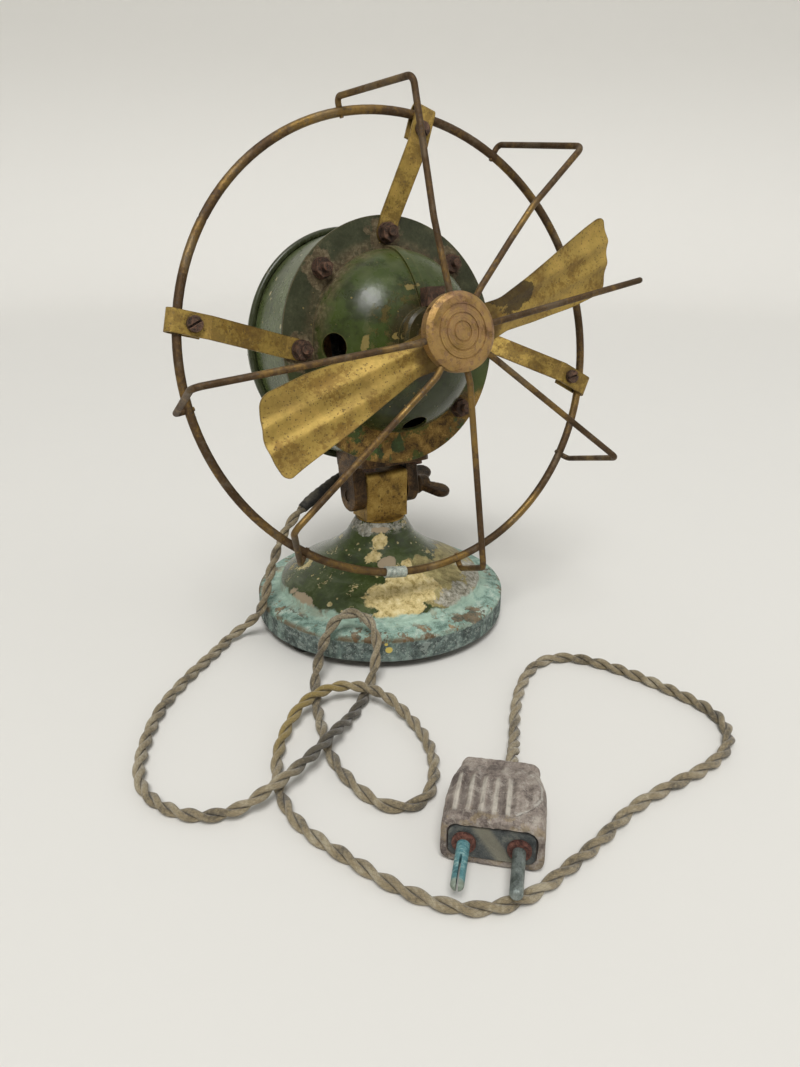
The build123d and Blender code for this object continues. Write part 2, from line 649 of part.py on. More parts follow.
save("commutator", placed(motor_frame, commutator()))

# ---------------------------------------------------------------- shaft and propeller
SHAFT_REAR = REAR_NOSE_END + 2.0
SHAFT_FRONT = PROPELLER_FACE + 3.6
HUB_REAR = NOSE_FRONT + 5.5
FLANGE_THICKNESS = 2.5
RIVET_CIRCLE = 10.4
RIVET_ANGLES = [BLADE_ANGLE + turn for turn in (50, 130, 230, 310)]


def thrust_collars():
    front = tube(7.0, SHAFT_RADIUS, FRONT_BEARING_REAR - 4.3, FRONT_BEARING_REAR - 0.3)
    rear = tube(7.0, SHAFT_RADIUS, REAR_BEARING_FRONT + 0.3, COMMUTATOR_REAR - 0.05)
    return front, rear


def blade_hub():
    hub = turned(
        (SHAFT_RADIUS, HUB_REAR), (8.0, HUB_REAR), (8.0, PROPELLER_FACE - FLANGE_THICKNESS),
        (HUB_FLANGE, PROPELLER_FACE - FLANGE_THICKNESS), (HUB_FLANGE, PROPELLER_FACE - SEAT),
        (SHAFT_RADIUS, PROPELLER_FACE - SEAT),
    )
    hub -= Pos(0, 6.5, HUB_REAR + 4) * Rotation(90, 0, 0) * Cylinder(1.6, 6)
    for angle in RIVET_ANGLES:
        hub -= at_angle(RIVET_CIRCLE, angle, rod(1.05, HUB_REAR, PROPELLER_FACE))
    return hub


def hub_screw():
    screw = Rotation(-90, 0, 0) * slotted_screw(2.8, 1.8, 1.55, 3.9)
    return Pos(0, 8.0 + SEAT, HUB_REAR + 4) * screw


def blade_section(along, half_width, pitch, level):
    """Cross-section of the sheet, with its two pressed ribs, at one place along the blade."""
    spread = half_width / 20.0
    front = []
    back = []
    for across, rib in (
        (-20, 0), (-14, 0), (-8.2, 0), (-5.2, 1), (-2.2, 0), (1.2, 0), (4.2, 1), (7.2, 0), (13.5, 0), (20, 0)
    ):
        side = across * spread
        rise = level + side * math.tan(math.radians(pitch)) + rib * RIB_HEIGHT * min(1, spread)
        front.append((along, side, rise + SHEET / 2))
        back.append((along, side, rise - SHEET / 2))
    lower = Spline(*back)
    upper = Spline(*front)
    return make_face([lower, Line(back[-1], front[-1]), upper, Line(front[0], back[0])])


def blade():
    middle = PROPELLER_FACE + SHEET / 2
    sheet = loft([
        blade_section(10.0, 13.0, 1.0, middle),
        blade_section(18.0, 14.0, 5.0, middle - 0.1),
        blade_section(34.0, 17.0, BLADE_PITCH, middle - 0.6),
        blade_section(66.0, 20.0, BLADE_PITCH, middle - BLADE_SWEEP * 0.6),
        blade_section(BLADE_TIP + 3, 22.0, BLADE_PITCH, middle - BLADE_SWEEP),
    ])
    edge = FilletPolyline(
        (10.0, -9.0), (27.0, -9.0), (45.0, -12.6), (70.0, -16.4), (92.0, -17.4),
        (BLADE_TIP + 1.2, 0.5), (BLADE_TIP + 0.2, 16.6), (70.0, 12.6), (45.0, 8.6),
        (27.0, 6.2), (10.0, 9.0),
        radius=[20, 60, 60, 7, 30, 3.5, 80, 60, 20],
    )
    outline = make_face([edge, Line((10.0, 9.0), (10.0, -9.0))])
    return (sheet & extrude(outline, 120)) - rod(HUB_FLANGE + 0.3, 0, PROPELLER_FACE)


def propeller():
    body = rod(DISC_RADIUS, PROPELLER_FACE, PROPELLER_FACE + SHEET)
    for turn in (BLADE_ANGLE, BLADE_ANGLE + 180):
        body += Rotation(0, 0, turn) * blade()
    body -= rod(SHAFT_RADIUS + RUNNING, 0, 99)
    for angle in RIVET_ANGLES:
        body -= at_angle(RIVET_CIRCLE, angle, rod(1.05, HUB_REAR, PROPELLER_FACE + 5))
    return body


def rivet():
    under = PROPELLER_FACE - FLANGE_THICKNESS - SEAT
    over = PROPELLER_FACE + SHEET + SEAT
    return rod(1.0, under - 0.5, over + 0.5) + rod(1.9, under - 1.0, under) + rod(1.9, over, over + 1.0)


save("shaft", placed(motor_frame, rod(SHAFT_RADIUS, SHAFT_REAR, SHAFT_FRONT)))
save("thrust_collars", *[placed(motor_frame, collar) for collar in thrust_collars()])
save("blade_hub", placed(motor_frame, blade_hub()))
save("hub_screw", placed(motor_frame, hub_screw()))
save("propeller", placed(motor_frame, propeller()))
save("propeller_rivets", *[placed(motor_frame, at_angle(RIVET_CIRCLE, a, rivet())) for a in RIVET_ANGLES])

# ---------------------------------------------------------------- guard
RING_GAP = 0.6
boss_centre = Vector(BOSS_CENTRE[0], BOSS_CENTRE[1], BOSS_PLANE)


def radial_pin(radius, inner, outer, angle):
    """A pin lying along a radius of the ring, from inner to outer."""
    lying = Pos((inner + outer) / 2, 0, 0) * Rotation(0, 90, 0) * Cylinder(radius, outer - inner)
    return Rotation(0, 0, angle) * lying


def guard_ring():
    gap = math.degrees(RING_GAP / GUARD_RADIUS)
    section = Plane.XZ * Pos(GUARD_RADIUS, 0) * Circle(GUARD_WIRE)
    ring = revolve(section, Axis.Z, revolution_arc=360 - gap)
    ring = Rotation(0, 0, FERRULE_ANGLE + gap / 2) * ring
    for angle in [spoke[3] for spoke in SPOKES] + [EMPTY_HOLE]:
        ring -= radial_pin(SPIGOT_RADIUS + RUNNING, GUARD_RADIUS - 5, GUARD_RADIUS + 5, angle)
    return ring


def ring_ferrule():
    arc = math.degrees(FERRULE_LENGTH / GUARD_RADIUS)
    section = Plane.XZ * Pos(GUARD_RADIUS, 0) * (Circle(FERRULE_RADIUS) - Circle(GUARD_WIRE + RUNNING))
    return Rotation(0, 0, FERRULE_ANGLE - arc / 2) * revolve(section, Axis.Z, revolution_arc=arc)


def guard_spoke(hole, way_points, corner, ring_angle):
    seat_angle = BOSS_HOLE_ANGLE + 45.0 * hole
    inner_end = BOSS_RADIUS - SPOKE_DEPTH
    points = [
        boss_centre + polar(inner_end, seat_angle),
        boss_centre + polar(BOSS_RADIUS + 5, seat_angle),
    ]
    corner_share, corner_angle = corner
    corner_radius = GUARD_RADIUS * corner_share
    for way_share, angle in way_points:
        radius = GUARD_RADIUS * way_share
        share = (radius - BOSS_RADIUS) / (corner_radius - BOSS_RADIUS)
        points.append(polar(radius, angle, BOSS_PLANE + (SPOKE_PLANE - BOSS_PLANE) * share))
    points.append(polar(corner_radius, corner_angle, SPOKE_PLANE))
    points.append(polar(GUARD_RADIUS + 6, ring_angle, 0.8))
    points.append(polar(GUARD_RADIUS + GUARD_WIRE + SEAT, ring_angle))
    radii = [14.0] + [40.0] * len(way_points) + [4.5, 2.6]
    spoke = wire_along(points, radii, SPOKE_RADIUS)
    end = GUARD_RADIUS + GUARD_WIRE + 0.5
    return spoke + radial_pin(SPIGOT_RADIUS, GUARD_RADIUS - GUARD_WIRE - 0.5, end, ring_angle)


def guard_boss():
    half = BOSS_THICKNESS / 2
    boss = turned(
        (0, -half), (BOSS_RADIUS - 0.8, -half), (BOSS_RADIUS, 0.8 - half), (BOSS_RADIUS, half - 1.6),
        (BOSS_RADIUS - 1.4, half - 0.4), (BOSS_RADIUS - 2.2, half), (0, half),
    )
    for radius in (4.0, 7.5, 11.0):
        boss -= tube(radius + 0.35, radius - 0.35, half - 0.3, half + 1)
    for index in range(8):
        angle = BOSS_HOLE_ANGLE + 45 * index
        boss -= radial_pin(SPOKE_RADIUS + RUNNING, BOSS_RADIUS - SPOKE_DEPTH - 0.1, BOSS_RADIUS + 2, angle)
    return Pos(boss_centre) * boss


def strap_line(stud_angle, ring_angle):
    """Where a guard arm runs: its stud and its crossing of the ring, in the ring's frame."""
    stud_world = motor_frame.from_local_coords(polar(BOLT_CIRCLE, stud_angle, FLANGE_FRONT))
    stud = guard_frame.to_local_coords(stud_world)
    crossing = polar(GUARD_RADIUS, ring_angle)
    heading = math.degrees(math.atan2(crossing.Y - stud.Y, crossing.X - stud.X))
    return crossing, heading


def fold_place(stud_angle, ring_angle):
    crossing, heading = strap_line(stud_angle, ring_angle)
    return guard_frame.location * Pos(crossing) * Rotation(0, 0, heading)


def guard_arm(stud_angle, ring_angle, screw_inset):
    room = GUARD_WIRE + RUNNING
    fold_start = -14.0
    layer = block(
        fold_start, FOLD_ROOM, -STRAP_WIDTH / 2, STRAP_WIDTH / 2, room, room + STRAP_THICKNESS
    )
    back_layer = block(
        2 - screw_inset - 6, FOLD_ROOM, -STRAP_WIDTH / 2, STRAP_WIDTH / 2, -room - STRAP_THICKNESS, -room
    )
    bend = Rotation(90, 0, 0) * tube(room + STRAP_THICKNESS, room, -STRAP_WIDTH / 2, STRAP_WIDTH / 2)
    bend = bend & block(0, 9, -9, 9, -9, 9)
    fold = layer + back_layer + Pos(FOLD_ROOM, 0, 0) * bend
    fold -= Pos(-screw_inset, 0, 0) * Cylinder(1.6, 20)
    place = fold_place(stud_angle, ring_angle)
    arm = place * fold
    crossing = motor_frame.to_local_coords(place.position)
    stud = polar(BOLT_CIRCLE, stud_angle)
    heading = math.degrees(math.atan2(crossing.Y - stud.Y, crossing.X - stud.X))
    level = FLANGE_FRONT + SEAT / 2
    tab_end = 7.5
    tab = block(0, tab_end, -STRAP_WIDTH / 2, STRAP_WIDTH / 2, level, level + STRAP_THICKNESS)
    tab += rod(STRAP_WIDTH / 2, level, level + STRAP_THICKNESS)
    tab -= rod(BOLT_RADIUS + 0.15, 0, 99)
    tab_place = motor_frame.location * Pos(stud) * Rotation(0, 0, heading)
    arm += tab_place * tab
    upright = Rotation(0, 90, 0) * Rectangle(STRAP_THICKNESS, STRAP_WIDTH)
    tab_section = tab_place * Pos(tab_end, 0, level + STRAP_THICKNESS / 2) * upright
    fold_section = place * Pos(fold_start, 0, room + STRAP_THICKNESS / 2) * upright
    return arm + loft([tab_section, fold_section], ruled=True)


def clamp_screw(stud_angle, ring_angle, screw_inset):
    top = GUARD_WIRE + RUNNING + STRAP_THICKNESS + SEAT / 2
    screw = Rotation(0, 0, 40) * slotted_screw(3.4, 2.2, 1.5, 2 * top + 3.0)
    return fold_place(stud_angle, ring_angle) * Pos(-screw_inset, 0, top) * screw


def clamp_nut(stud_angle, ring_angle, screw_inset):
    top = GUARD_WIRE + RUNNING + STRAP_THICKNESS + SEAT / 2
    nut = hexagon(6.0, -top - 2.4, -top) - Cylinder(1.5 + RUNNING, 30)
    return fold_place(stud_angle, ring_angle) * Pos(-screw_inset, 0, 0) * nut


save("guard_ring", placed(guard_frame, guard_ring()))
save("ring_ferrule", placed(guard_frame, ring_ferrule()))
save("guard_boss", placed(guard_frame, guard_boss()))
for number, spoke in enumerate(SPOKES, start=1):
    save(f"guard_spoke_{number}", placed(guard_frame, guard_spoke(*spoke)))
for name, *arm in ARMS:
    save(name, guard_arm(*arm))
save("clamp_screws", *[clamp_screw(*arm) for _, *arm in ARMS])
save("clamp_nuts", *[clamp_nut(*arm) for _, *arm in ARMS])

# ---------------------------------------------------------------- plug
def plug_body():
    half_w = PLUG_WIDTH / 2
    half_h = PLUG_HEIGHT / 2
    body = block(-half_w, half_w, -half_h, half_h, -PLUG_LENGTH, 0)
    body = fillet(body.edges().filter_by(Axis.Z), 4.5)
    body = fillet(body.faces().sort_by(Axis.Z)[0].edges(), 3.5)
    body = fillet(body.faces().sort_by(Axis.Z)[-1].edges(), 1.6)
    recess = extrude(RectangleRounded(FACE_WIDTH, FACE_HEIGHT, 3.0), FACE_DEPTH + SEAT, both=True)
    body -= recess
    for side in (-1, 1):
        body -= Pos(side * PIN_SPACING / 2, 0, 0) * pin_hole()
    for index in range(5):
        flute = Cylinder(1.7, PLUG_LENGTH - 16)
        body -= Pos((index - 2) * 5.6, half_h + 0.9, -PLUG_LENGTH / 2 - 1) * flute
    return body


def pin_hole():
    return Rotation(PIN_DROOP, 0, 0) * Cylinder(PIN_RADIUS + RUNNING, 24)


def plug_face():
    face = Pos(0, 0, -FACE_DEPTH) * extrude(
        RectangleRounded(FACE_WIDTH - 2 * SEAT, FACE_HEIGHT - 2 * SEAT, 3.0), FACE_DEPTH
    )
    for side in (-1, 1):
        face -= Pos(side * PIN_SPACING / 2, 0, 0) * pin_hole()
    return face


def plug_pin(slotted):
    pin = rod(PIN_RADIUS, -11, PIN_LENGTH)
    pin = fillet(pin.edges().sort_by(Axis.Z)[-1], 1.4)
    if slotted:
        pin -= block(-0.4, 0.4, -9, 9, PIN_LENGTH - 12, PIN_LENGTH + 1)
    return Rotation(PIN_DROOP, 0, 0) * pin


def pin_collar():
    collar = rod(4.2, SEAT, 1.5) - pin_hole()
    return chamfer(collar.edges().filter_by(GeomType.CIRCLE).sort_by(Axis.Z)[-1], 0.4)


save("plug_body", placed(plug_frame, plug_body()))
save("plug_face", placed(plug_frame, plug_face()))
save("plug_pins", *[
    placed(plug_frame, Pos(side * PIN_SPACING / 2, 0, 0) * plug_pin(side < 0)) for side in (-1, 1)
])
collars = [Pos(side * PIN_SPACING / 2, 0, 0) * pin_collar() for side in (-1, 1)]
save("pin_collars", *[placed(plug_frame, collar) for collar in collars])

# ---------------------------------------------------------------- cord
LIE = CORD_DIAMETER / 2 + 0.1     # cord's middle above the table
OVER = LIE + CORD_DIAMETER + 0.8  # where it crosses over itself
cord_exit = motor_frame.from_local_coords(Vector(BUSHING_OFFSET, -BUSHING_FACE, BUSHING_STATION))
cord_drop = motor_frame.from_local_coords(Vector(BUSHING_OFFSET, -BUSHING_FACE - 7.5, BUSHING_STATION))
plug_entry = plug_frame.from_local_coords(Vector(PLUG_ENTRY_SHIFT, 0, -PLUG_LENGTH))
plug_approach = plug_frame.from_local_coords(Vector(PLUG_ENTRY_SHIFT, 0, -PLUG_LENGTH - 9))

# from the bushing under the drum to beside the base; it flexes when the head tilts
LEAD_ROUTE = (
    (-20.5, 19.2, 72.6), (-38.0, 16.0, 65.4), (-53.0, 10.5, 55.0), (-62.5, 5.5, 40.0),
    (-67.15, 2.0, 30.25),
)
# over the rim to the table, round the loops and out to the plug
CORD_ROUTE = (
    (-67.15, 2.0, 30.25), (-71.8, -1.5, 20.5), (-75.0, 6.0, 10.5), (-85.5, 9.8, LIE), (-99.0, -2.5, LIE),
    (-118.0, -18.0, LIE), (-138.0, -38.0, LIE), (-152.0, -62.0, LIE), (-160.5, -84.0, LIE),
    (-157.5, -102.0, LIE), (-147.0, -116.5, LIE), (-133.0, -122.5, LIE + 1.5),
    (-121.5, -122.8, OVER), (-109.0, -118.0, OVER), (-95.0, -111.0, OVER), (-81.0, -101.8, OVER),
    (-70.0, -92.0, LIE + 1.0), (-60.5, -84.0, LIE), (-50.0, -74.0, LIE), (-43.5, -68.5, 9.0),
    (-38.5, -63.5, 19.0), (-37.5, -56.0, 27.5), (-43.5, -49.0, 31.5), (-52.0, -46.0, 28.5),
    (-59.0, -47.5, 20.0), (-65.0, -51.5, 10.5), (-71.0, -59.5, 3.6), (-77.5, -76.0, LIE),
    (-83.5, -94.0, LIE), (-88.5, -113.0, LIE), (-88.5, -126.0, LIE), (-87.5, -136.0, LIE),
    (-85.0, -145.0, LIE), (-79.3, -151.5, LIE), (-69.6, -152.6, LIE), (-61.5, -146.2, LIE),
    (-53.0, -135.0, LIE), (-47.0, -119.5, LIE),
    (-45.5, -103.0, LIE + 0.6), (-49.5, -88.0, OVER), (-58.0, -75.0, OVER), (-69.5, -71.0, OVER),
    (-85.0, -75.8, OVER), (-98.0, -85.5, LIE + 1.0), (-107.5, -99.0, LIE), (-113.5, -114.0, LIE),
    (-116.8, -131.0, LIE), (-114.5, -147.0, LIE), (-108.0, -164.0, LIE), (-102.0, -181.0, LIE),
    (-93.5, -195.5, LIE), (-82.5, -205.8, LIE), (-66.0, -209.8, LIE), (-46.0, -206.5, LIE),
    (-26.0, -202.5, LIE), (-5.0, -196.3, LIE), (17.0, -195.2, LIE), (38.0, -195.6, LIE),
    (57.0, -192.0, LIE), (69.5, -182.5, LIE), (75.0, -168.5, LIE), (73.0, -152.0, LIE),
    (68.5, -132.0, LIE), (62.5, -115.5, LIE), (54.0, -101.5, LIE), (41.5, -95.5, LIE),
    (27.0, -99.0, LIE), (10.0, -111.5, LIE), (-4.0, -126.0, LIE), (-14.5, -138.5, LIE + 0.3),
    (-22.5, -147.8, 5.4),
)


def bend_radii(points):
    """Largest arc that the two runs beside each point allow."""
    radii = []
    for before, here, after in zip(points, points[1:], points[2:]):
        arriving = here - before
        leaving = after - here
        turn = math.radians(arriving.get_angle(leaving))
        radii.append(0.45 * min(arriving.length, leaving.length) / math.tan(turn / 2))
    return radii


def cord_tube(points, name):
    points = [Vector(*point) for point in points]
    radii = bend_radii(points)
    path = FilletPolyline(*points, radius=radii)
    start = Plane(origin=path @ 0, z_dir=path % 0)
    cord = sweep(start * Circle(CORD_DIAMETER / 2), path=path)
    expected = math.pi * CORD_DIAMETER**2 / 4 * path.length
    print(name, "length", round(path.length, 1), "volume share", round(cord.volume / expected, 4))
    print(name, "radii", [round(radius, 1) for radius in radii])
    return cord


save("cord_lead", cord_tube((cord_exit, cord_drop) + LEAD_ROUTE, "cord_lead"))
save("cord", cord_tube(CORD_ROUTE + (plug_approach, plug_entry), "cord"))
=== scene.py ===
import math
import random

import bmesh
import bpy
from mathutils import Matrix, Vector


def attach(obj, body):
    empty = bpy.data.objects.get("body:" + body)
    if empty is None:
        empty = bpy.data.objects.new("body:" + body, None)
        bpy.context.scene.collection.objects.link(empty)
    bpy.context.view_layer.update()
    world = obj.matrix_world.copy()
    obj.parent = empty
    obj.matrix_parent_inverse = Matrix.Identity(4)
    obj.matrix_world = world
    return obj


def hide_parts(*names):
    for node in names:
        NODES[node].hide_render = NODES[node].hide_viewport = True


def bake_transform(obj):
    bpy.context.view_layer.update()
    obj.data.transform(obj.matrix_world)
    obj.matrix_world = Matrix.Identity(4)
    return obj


bl_info = {
    "name": "Antique desk fan",
    "version": (1, 0, 0),
    "blender": (4, 5, 0),
    "location": "View3D > Sidebar > Fan",
    "description": "Finishes an old green and brass desk fan with its twisted cloth cord",
    "category": "Object",
}

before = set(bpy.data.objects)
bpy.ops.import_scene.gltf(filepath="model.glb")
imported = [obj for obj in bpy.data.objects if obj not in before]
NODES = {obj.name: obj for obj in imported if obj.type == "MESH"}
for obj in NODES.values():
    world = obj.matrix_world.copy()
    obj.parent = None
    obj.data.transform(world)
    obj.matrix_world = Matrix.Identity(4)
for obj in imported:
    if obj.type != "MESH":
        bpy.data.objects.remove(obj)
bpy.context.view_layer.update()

# ---------------- places, in metres where nothing else is said
HEAD_TILT = math.radians(9.45)
MOTOR_CENTRE = Vector((0.0, 0.0, 0.15006))
PLUG_TURN = math.radians(-132.6)
PLUG_CENTRE = Vector((-0.0674, -0.1906, 0.01025))
EYE = Vector((-0.2076, -0.3574, 0.2097))
EYE_TURN = math.radians(-31.67)
EYE_DIP = math.radians(21.53)
EYE_ROLL = math.radians(0.25)
EYE_LENS = 27.03
KEY_DIRECTION = Vector((-0.30, -0.45, 0.84))
BOSS_LEFT = 10.2  # mm from the motor's axis to the guard boss's centre
BOSS_ABOVE = 2.0
LIE = 2.7  # mm up to the cord's middle, on the table and over itself
OVER = 8.7
# the cord's route in mm: out of the bushing, down beside the base, round the loops and into the plug
ROUTE_MM = (
    (-8, 22.3, 85), (-8, 21.1, 77.6), (-20.5, 19.2, 72.6), (-38, 16, 65.4), (-53, 10.5, 55),
    (-62.5, 5.5, 40), (-67.2, 2, 30.2), (-71.8, -1.5, 20.5), (-75, 6, 10.5), (-85.5, 9.8, LIE),
    (-99, -2.5, LIE), (-118, -18, LIE), (-138, -38, LIE), (-152, -62, LIE), (-160.5, -84, LIE),
    (-157.5, -102, LIE), (-147, -116.5, LIE), (-133, -122.5, 4.2), (-121.5, -122.8, OVER),
    (-109, -118, OVER), (-95, -111, OVER), (-81, -101.8, OVER), (-70, -92, 3.7), (-60.5, -84, LIE),
    (-50, -74, LIE), (-43.5, -68.5, 9), (-38.5, -63.5, 19), (-37.5, -56, 27.5), (-43.5, -49, 31.5),
    (-52, -46, 28.5), (-59, -47.5, 20), (-65, -51.5, 10.5), (-71, -59.5, 3.6), (-77.5, -76, LIE),
    (-83.5, -94, LIE), (-88.5, -113, LIE), (-88.5, -126, LIE), (-87.5, -136, LIE), (-85, -145, LIE),
    (-79.3, -151.5, LIE), (-69.6, -152.6, LIE), (-61.5, -146.2, LIE), (-53, -135, LIE),
    (-47, -119.5, LIE), (-45.5, -103, 3.3), (-49.5, -88, OVER), (-58, -75, OVER),
    (-69.5, -71, OVER), (-85, -75.8, OVER), (-98, -85.5, 3.7), (-107.5, -99, LIE),
    (-113.5, -114, LIE), (-116.8, -131, LIE), (-114.5, -147, LIE), (-108, -164, LIE),
    (-102, -181, LIE), (-93.5, -195.5, LIE), (-82.5, -205.8, LIE), (-66, -209.8, LIE),
    (-46, -206.5, LIE), (-26, -202.5, LIE), (-5, -196.3, LIE), (17, -195.2, LIE), (38, -195.6, LIE),
    (57, -192, LIE), (69.5, -182.5, LIE), (75, -168.5, LIE), (73, -152, LIE), (68.5, -132, LIE),
    (62.5, -115.5, LIE), (54, -101.5, LIE), (41.5, -95.5, LIE), (27, -99, LIE), (10, -111.5, LIE),
    (-4, -126, LIE), (-14.5, -138.5, 3), (-22.5, -147.8, 5.4), (-29.3, -155, 10.2),
    (-35.4, -161.7, 10.2),
)
ROUTE = tuple(tuple(round(along / 1000, 7) for along in place) for place in ROUTE_MM)
CORD_STEP = 0.0011  # between the rings of the strands, and of the tape
STRAND_SIDES = 12
STRAND_SWELL = 0.02  # the share by which a strand's thickness varies
TAPE_FIRST = 6  # the tape's ends, counted in steps along the cord
TAPE_LAST = 38
TAPE_SIDES = 20
TAPE_INSIDE = 0.0026
TAPE_THICK = 0.0011  # at the motor, and what it loses towards its far end
TAPE_LOSS = 0.0007
TAPE_LAP = 0.00016  # height of the laps, and steps from one to the next
TAPE_LAP_STEPS = 3.6
CAST_FROM = 0.0222  # the wing screw's casting starts here, beyond its washer
CAST_FADE = 0.0012
CAST_GRAIN = 0.00045  # size of the mesh that its edges melt into
CAST_SWELL = 0.0007
PLUG_GRAIN = 0.00055
PLUG_LUMP_SIZE = 0.007
PLUG_LUMP_DEPTH = 0.0011
PLUG_ROUND_FROM = 0.014  # the plug's body rounds down from here, behind its face
PLUG_ROUND_LENGTH = 0.023
PLUG_BACK_LOWER = 0.24  # shares that its back loses in height and in width
PLUG_BACK_NARROWER = 0.16
PLUG_SIDE_REACH = 0.0215  # across from the middle, where its sides lose their full share
PLUG_SIDE_LOWER = 0.13
RIDGE_FRONT = 0.004  # the finger ridges' ends behind the face, and their sides
RIDGE_BACK = 0.028
RIDGE_LEFT = 0.0175
RIDGE_RIGHT = 0.0060
RIDGE_FROM = 0.0165  # only what lies above this height is ridged
RIDGE_PITCH = 0.0046
RIDGE_DEPTH = 0.0005
RIDGE_LEVEL = 0.7  # shifts the ridges down, so that they are cut more than raised
RIDGE_BACK_FADE = 0.003
RIDGE_FRONT_FADE = 0.002
FLOOR_SQUARES = 96
FLOOR_RADIUS = 1.8  # the floor is flat up to here, and bends up into a round backdrop
FLOOR_BEND = 0.7
STAGE_MIDDLE = Vector((-0.02, -0.05, 0.12))
KEY_POWER = 1.7
KEY_SPREAD = math.radians(24)
# each lamp's place from the middle, width, power and colour
WINDOW = (KEY_DIRECTION.normalized() * 1.6, 0.7, 7.0, (1.0, 0.99, 0.96))
FILL = (Vector((1.3, -1.0, 0.9)), 1.2, 3.0, (0.95, 0.98, 1.0))
ROOM_LIGHT = 0.42  # the room's strength on the object, and as the camera sees it
ROOM_SEEN = 0.75


def tint(code):
    """A colour written as rrggbb, as the linear numbers that a shader takes."""
    channels = [int(code[place:place + 2], 16) / 255 for place in (0, 2, 4)]
    linear = [c / 12.92 if c <= 0.04045 else ((c + 0.055) / 1.055) ** 2.4 for c in channels]
    return (*linear, 1.0)


# ---------------- sizes and colours to change
def length_property(label, about, default):
    return bpy.props.FloatProperty(
        name=label, description=about, default=default, min=0.0, unit="LENGTH"
    )


def share_property(label, about, default):
    return bpy.props.FloatProperty(
        name=label, description=about, default=default, min=0.0, max=2.0, subtype="FACTOR"
    )


def colour_property(label, about, code):
    return bpy.props.FloatVectorProperty(
        name=label, description=about, default=tint(code), size=4, min=0.0, max=1.0, subtype="COLOR"
    )


class FanSizes(bpy.types.PropertyGroup):
    cord_diameter: length_property("Cord diameter", "Across both strands of the twisted cord", 0.0052)
    strand_radius: length_property("Strand radius", "Half the width of one strand", 0.00134)
    cord_lay: length_property("Lay", "Length along the cord of one full twist", 0.0205)
    braid_pitch: length_property("Braid pitch", "Distance between threads of the cloth braid", 0.00062)
    floor_width: length_property("Floor width", "Width of the floor before its edge is turned up", 9.0)
    wear: share_property("Wear", "How far the enamel has worn, 1 as found", 1.0)
    dust: share_property("Dust", "How much dust lies on upward faces, 1 as found", 1.0)


class FanColours(bpy.types.PropertyGroup):
    enamel: colour_property("Enamel", "Olive-green enamel where it is sound", "354117")
    enamel_faded: colour_property("Faded enamel", "Olive-green enamel where it has faded", "56603a")
    undercoat: colour_property("Undercoat", "Cream undercoat in the chips", "c9b680")
    verdigris: colour_property("Verdigris", "Blue-green corrosion on the base flange", "8ba699")
    brass: colour_property("Brass", "Golden brass of the blades and straps", "a48a45")
    bronze: colour_property("Brown bronze", "Brown patina on castings and wire", "574430")
    copper: colour_property("Copper", "Pinkish copper-brown of the guard boss", "9a7757")
    rust: colour_property("Rust", "Rust on nuts, washers and collars", "6b4433")
    braid: colour_property("Braid", "Weathered taupe cloth of the cord", "8a7c60")
    braid_ochre: colour_property("Ochre braid", "Ochre stretch of the cord", "8f7a3c")
    moulding: colour_property("Plug", "Weathered moulded body of the plug", "877b72")
    floor: colour_property("Floor", "Plain pale floor and backdrop", "dddbd6")


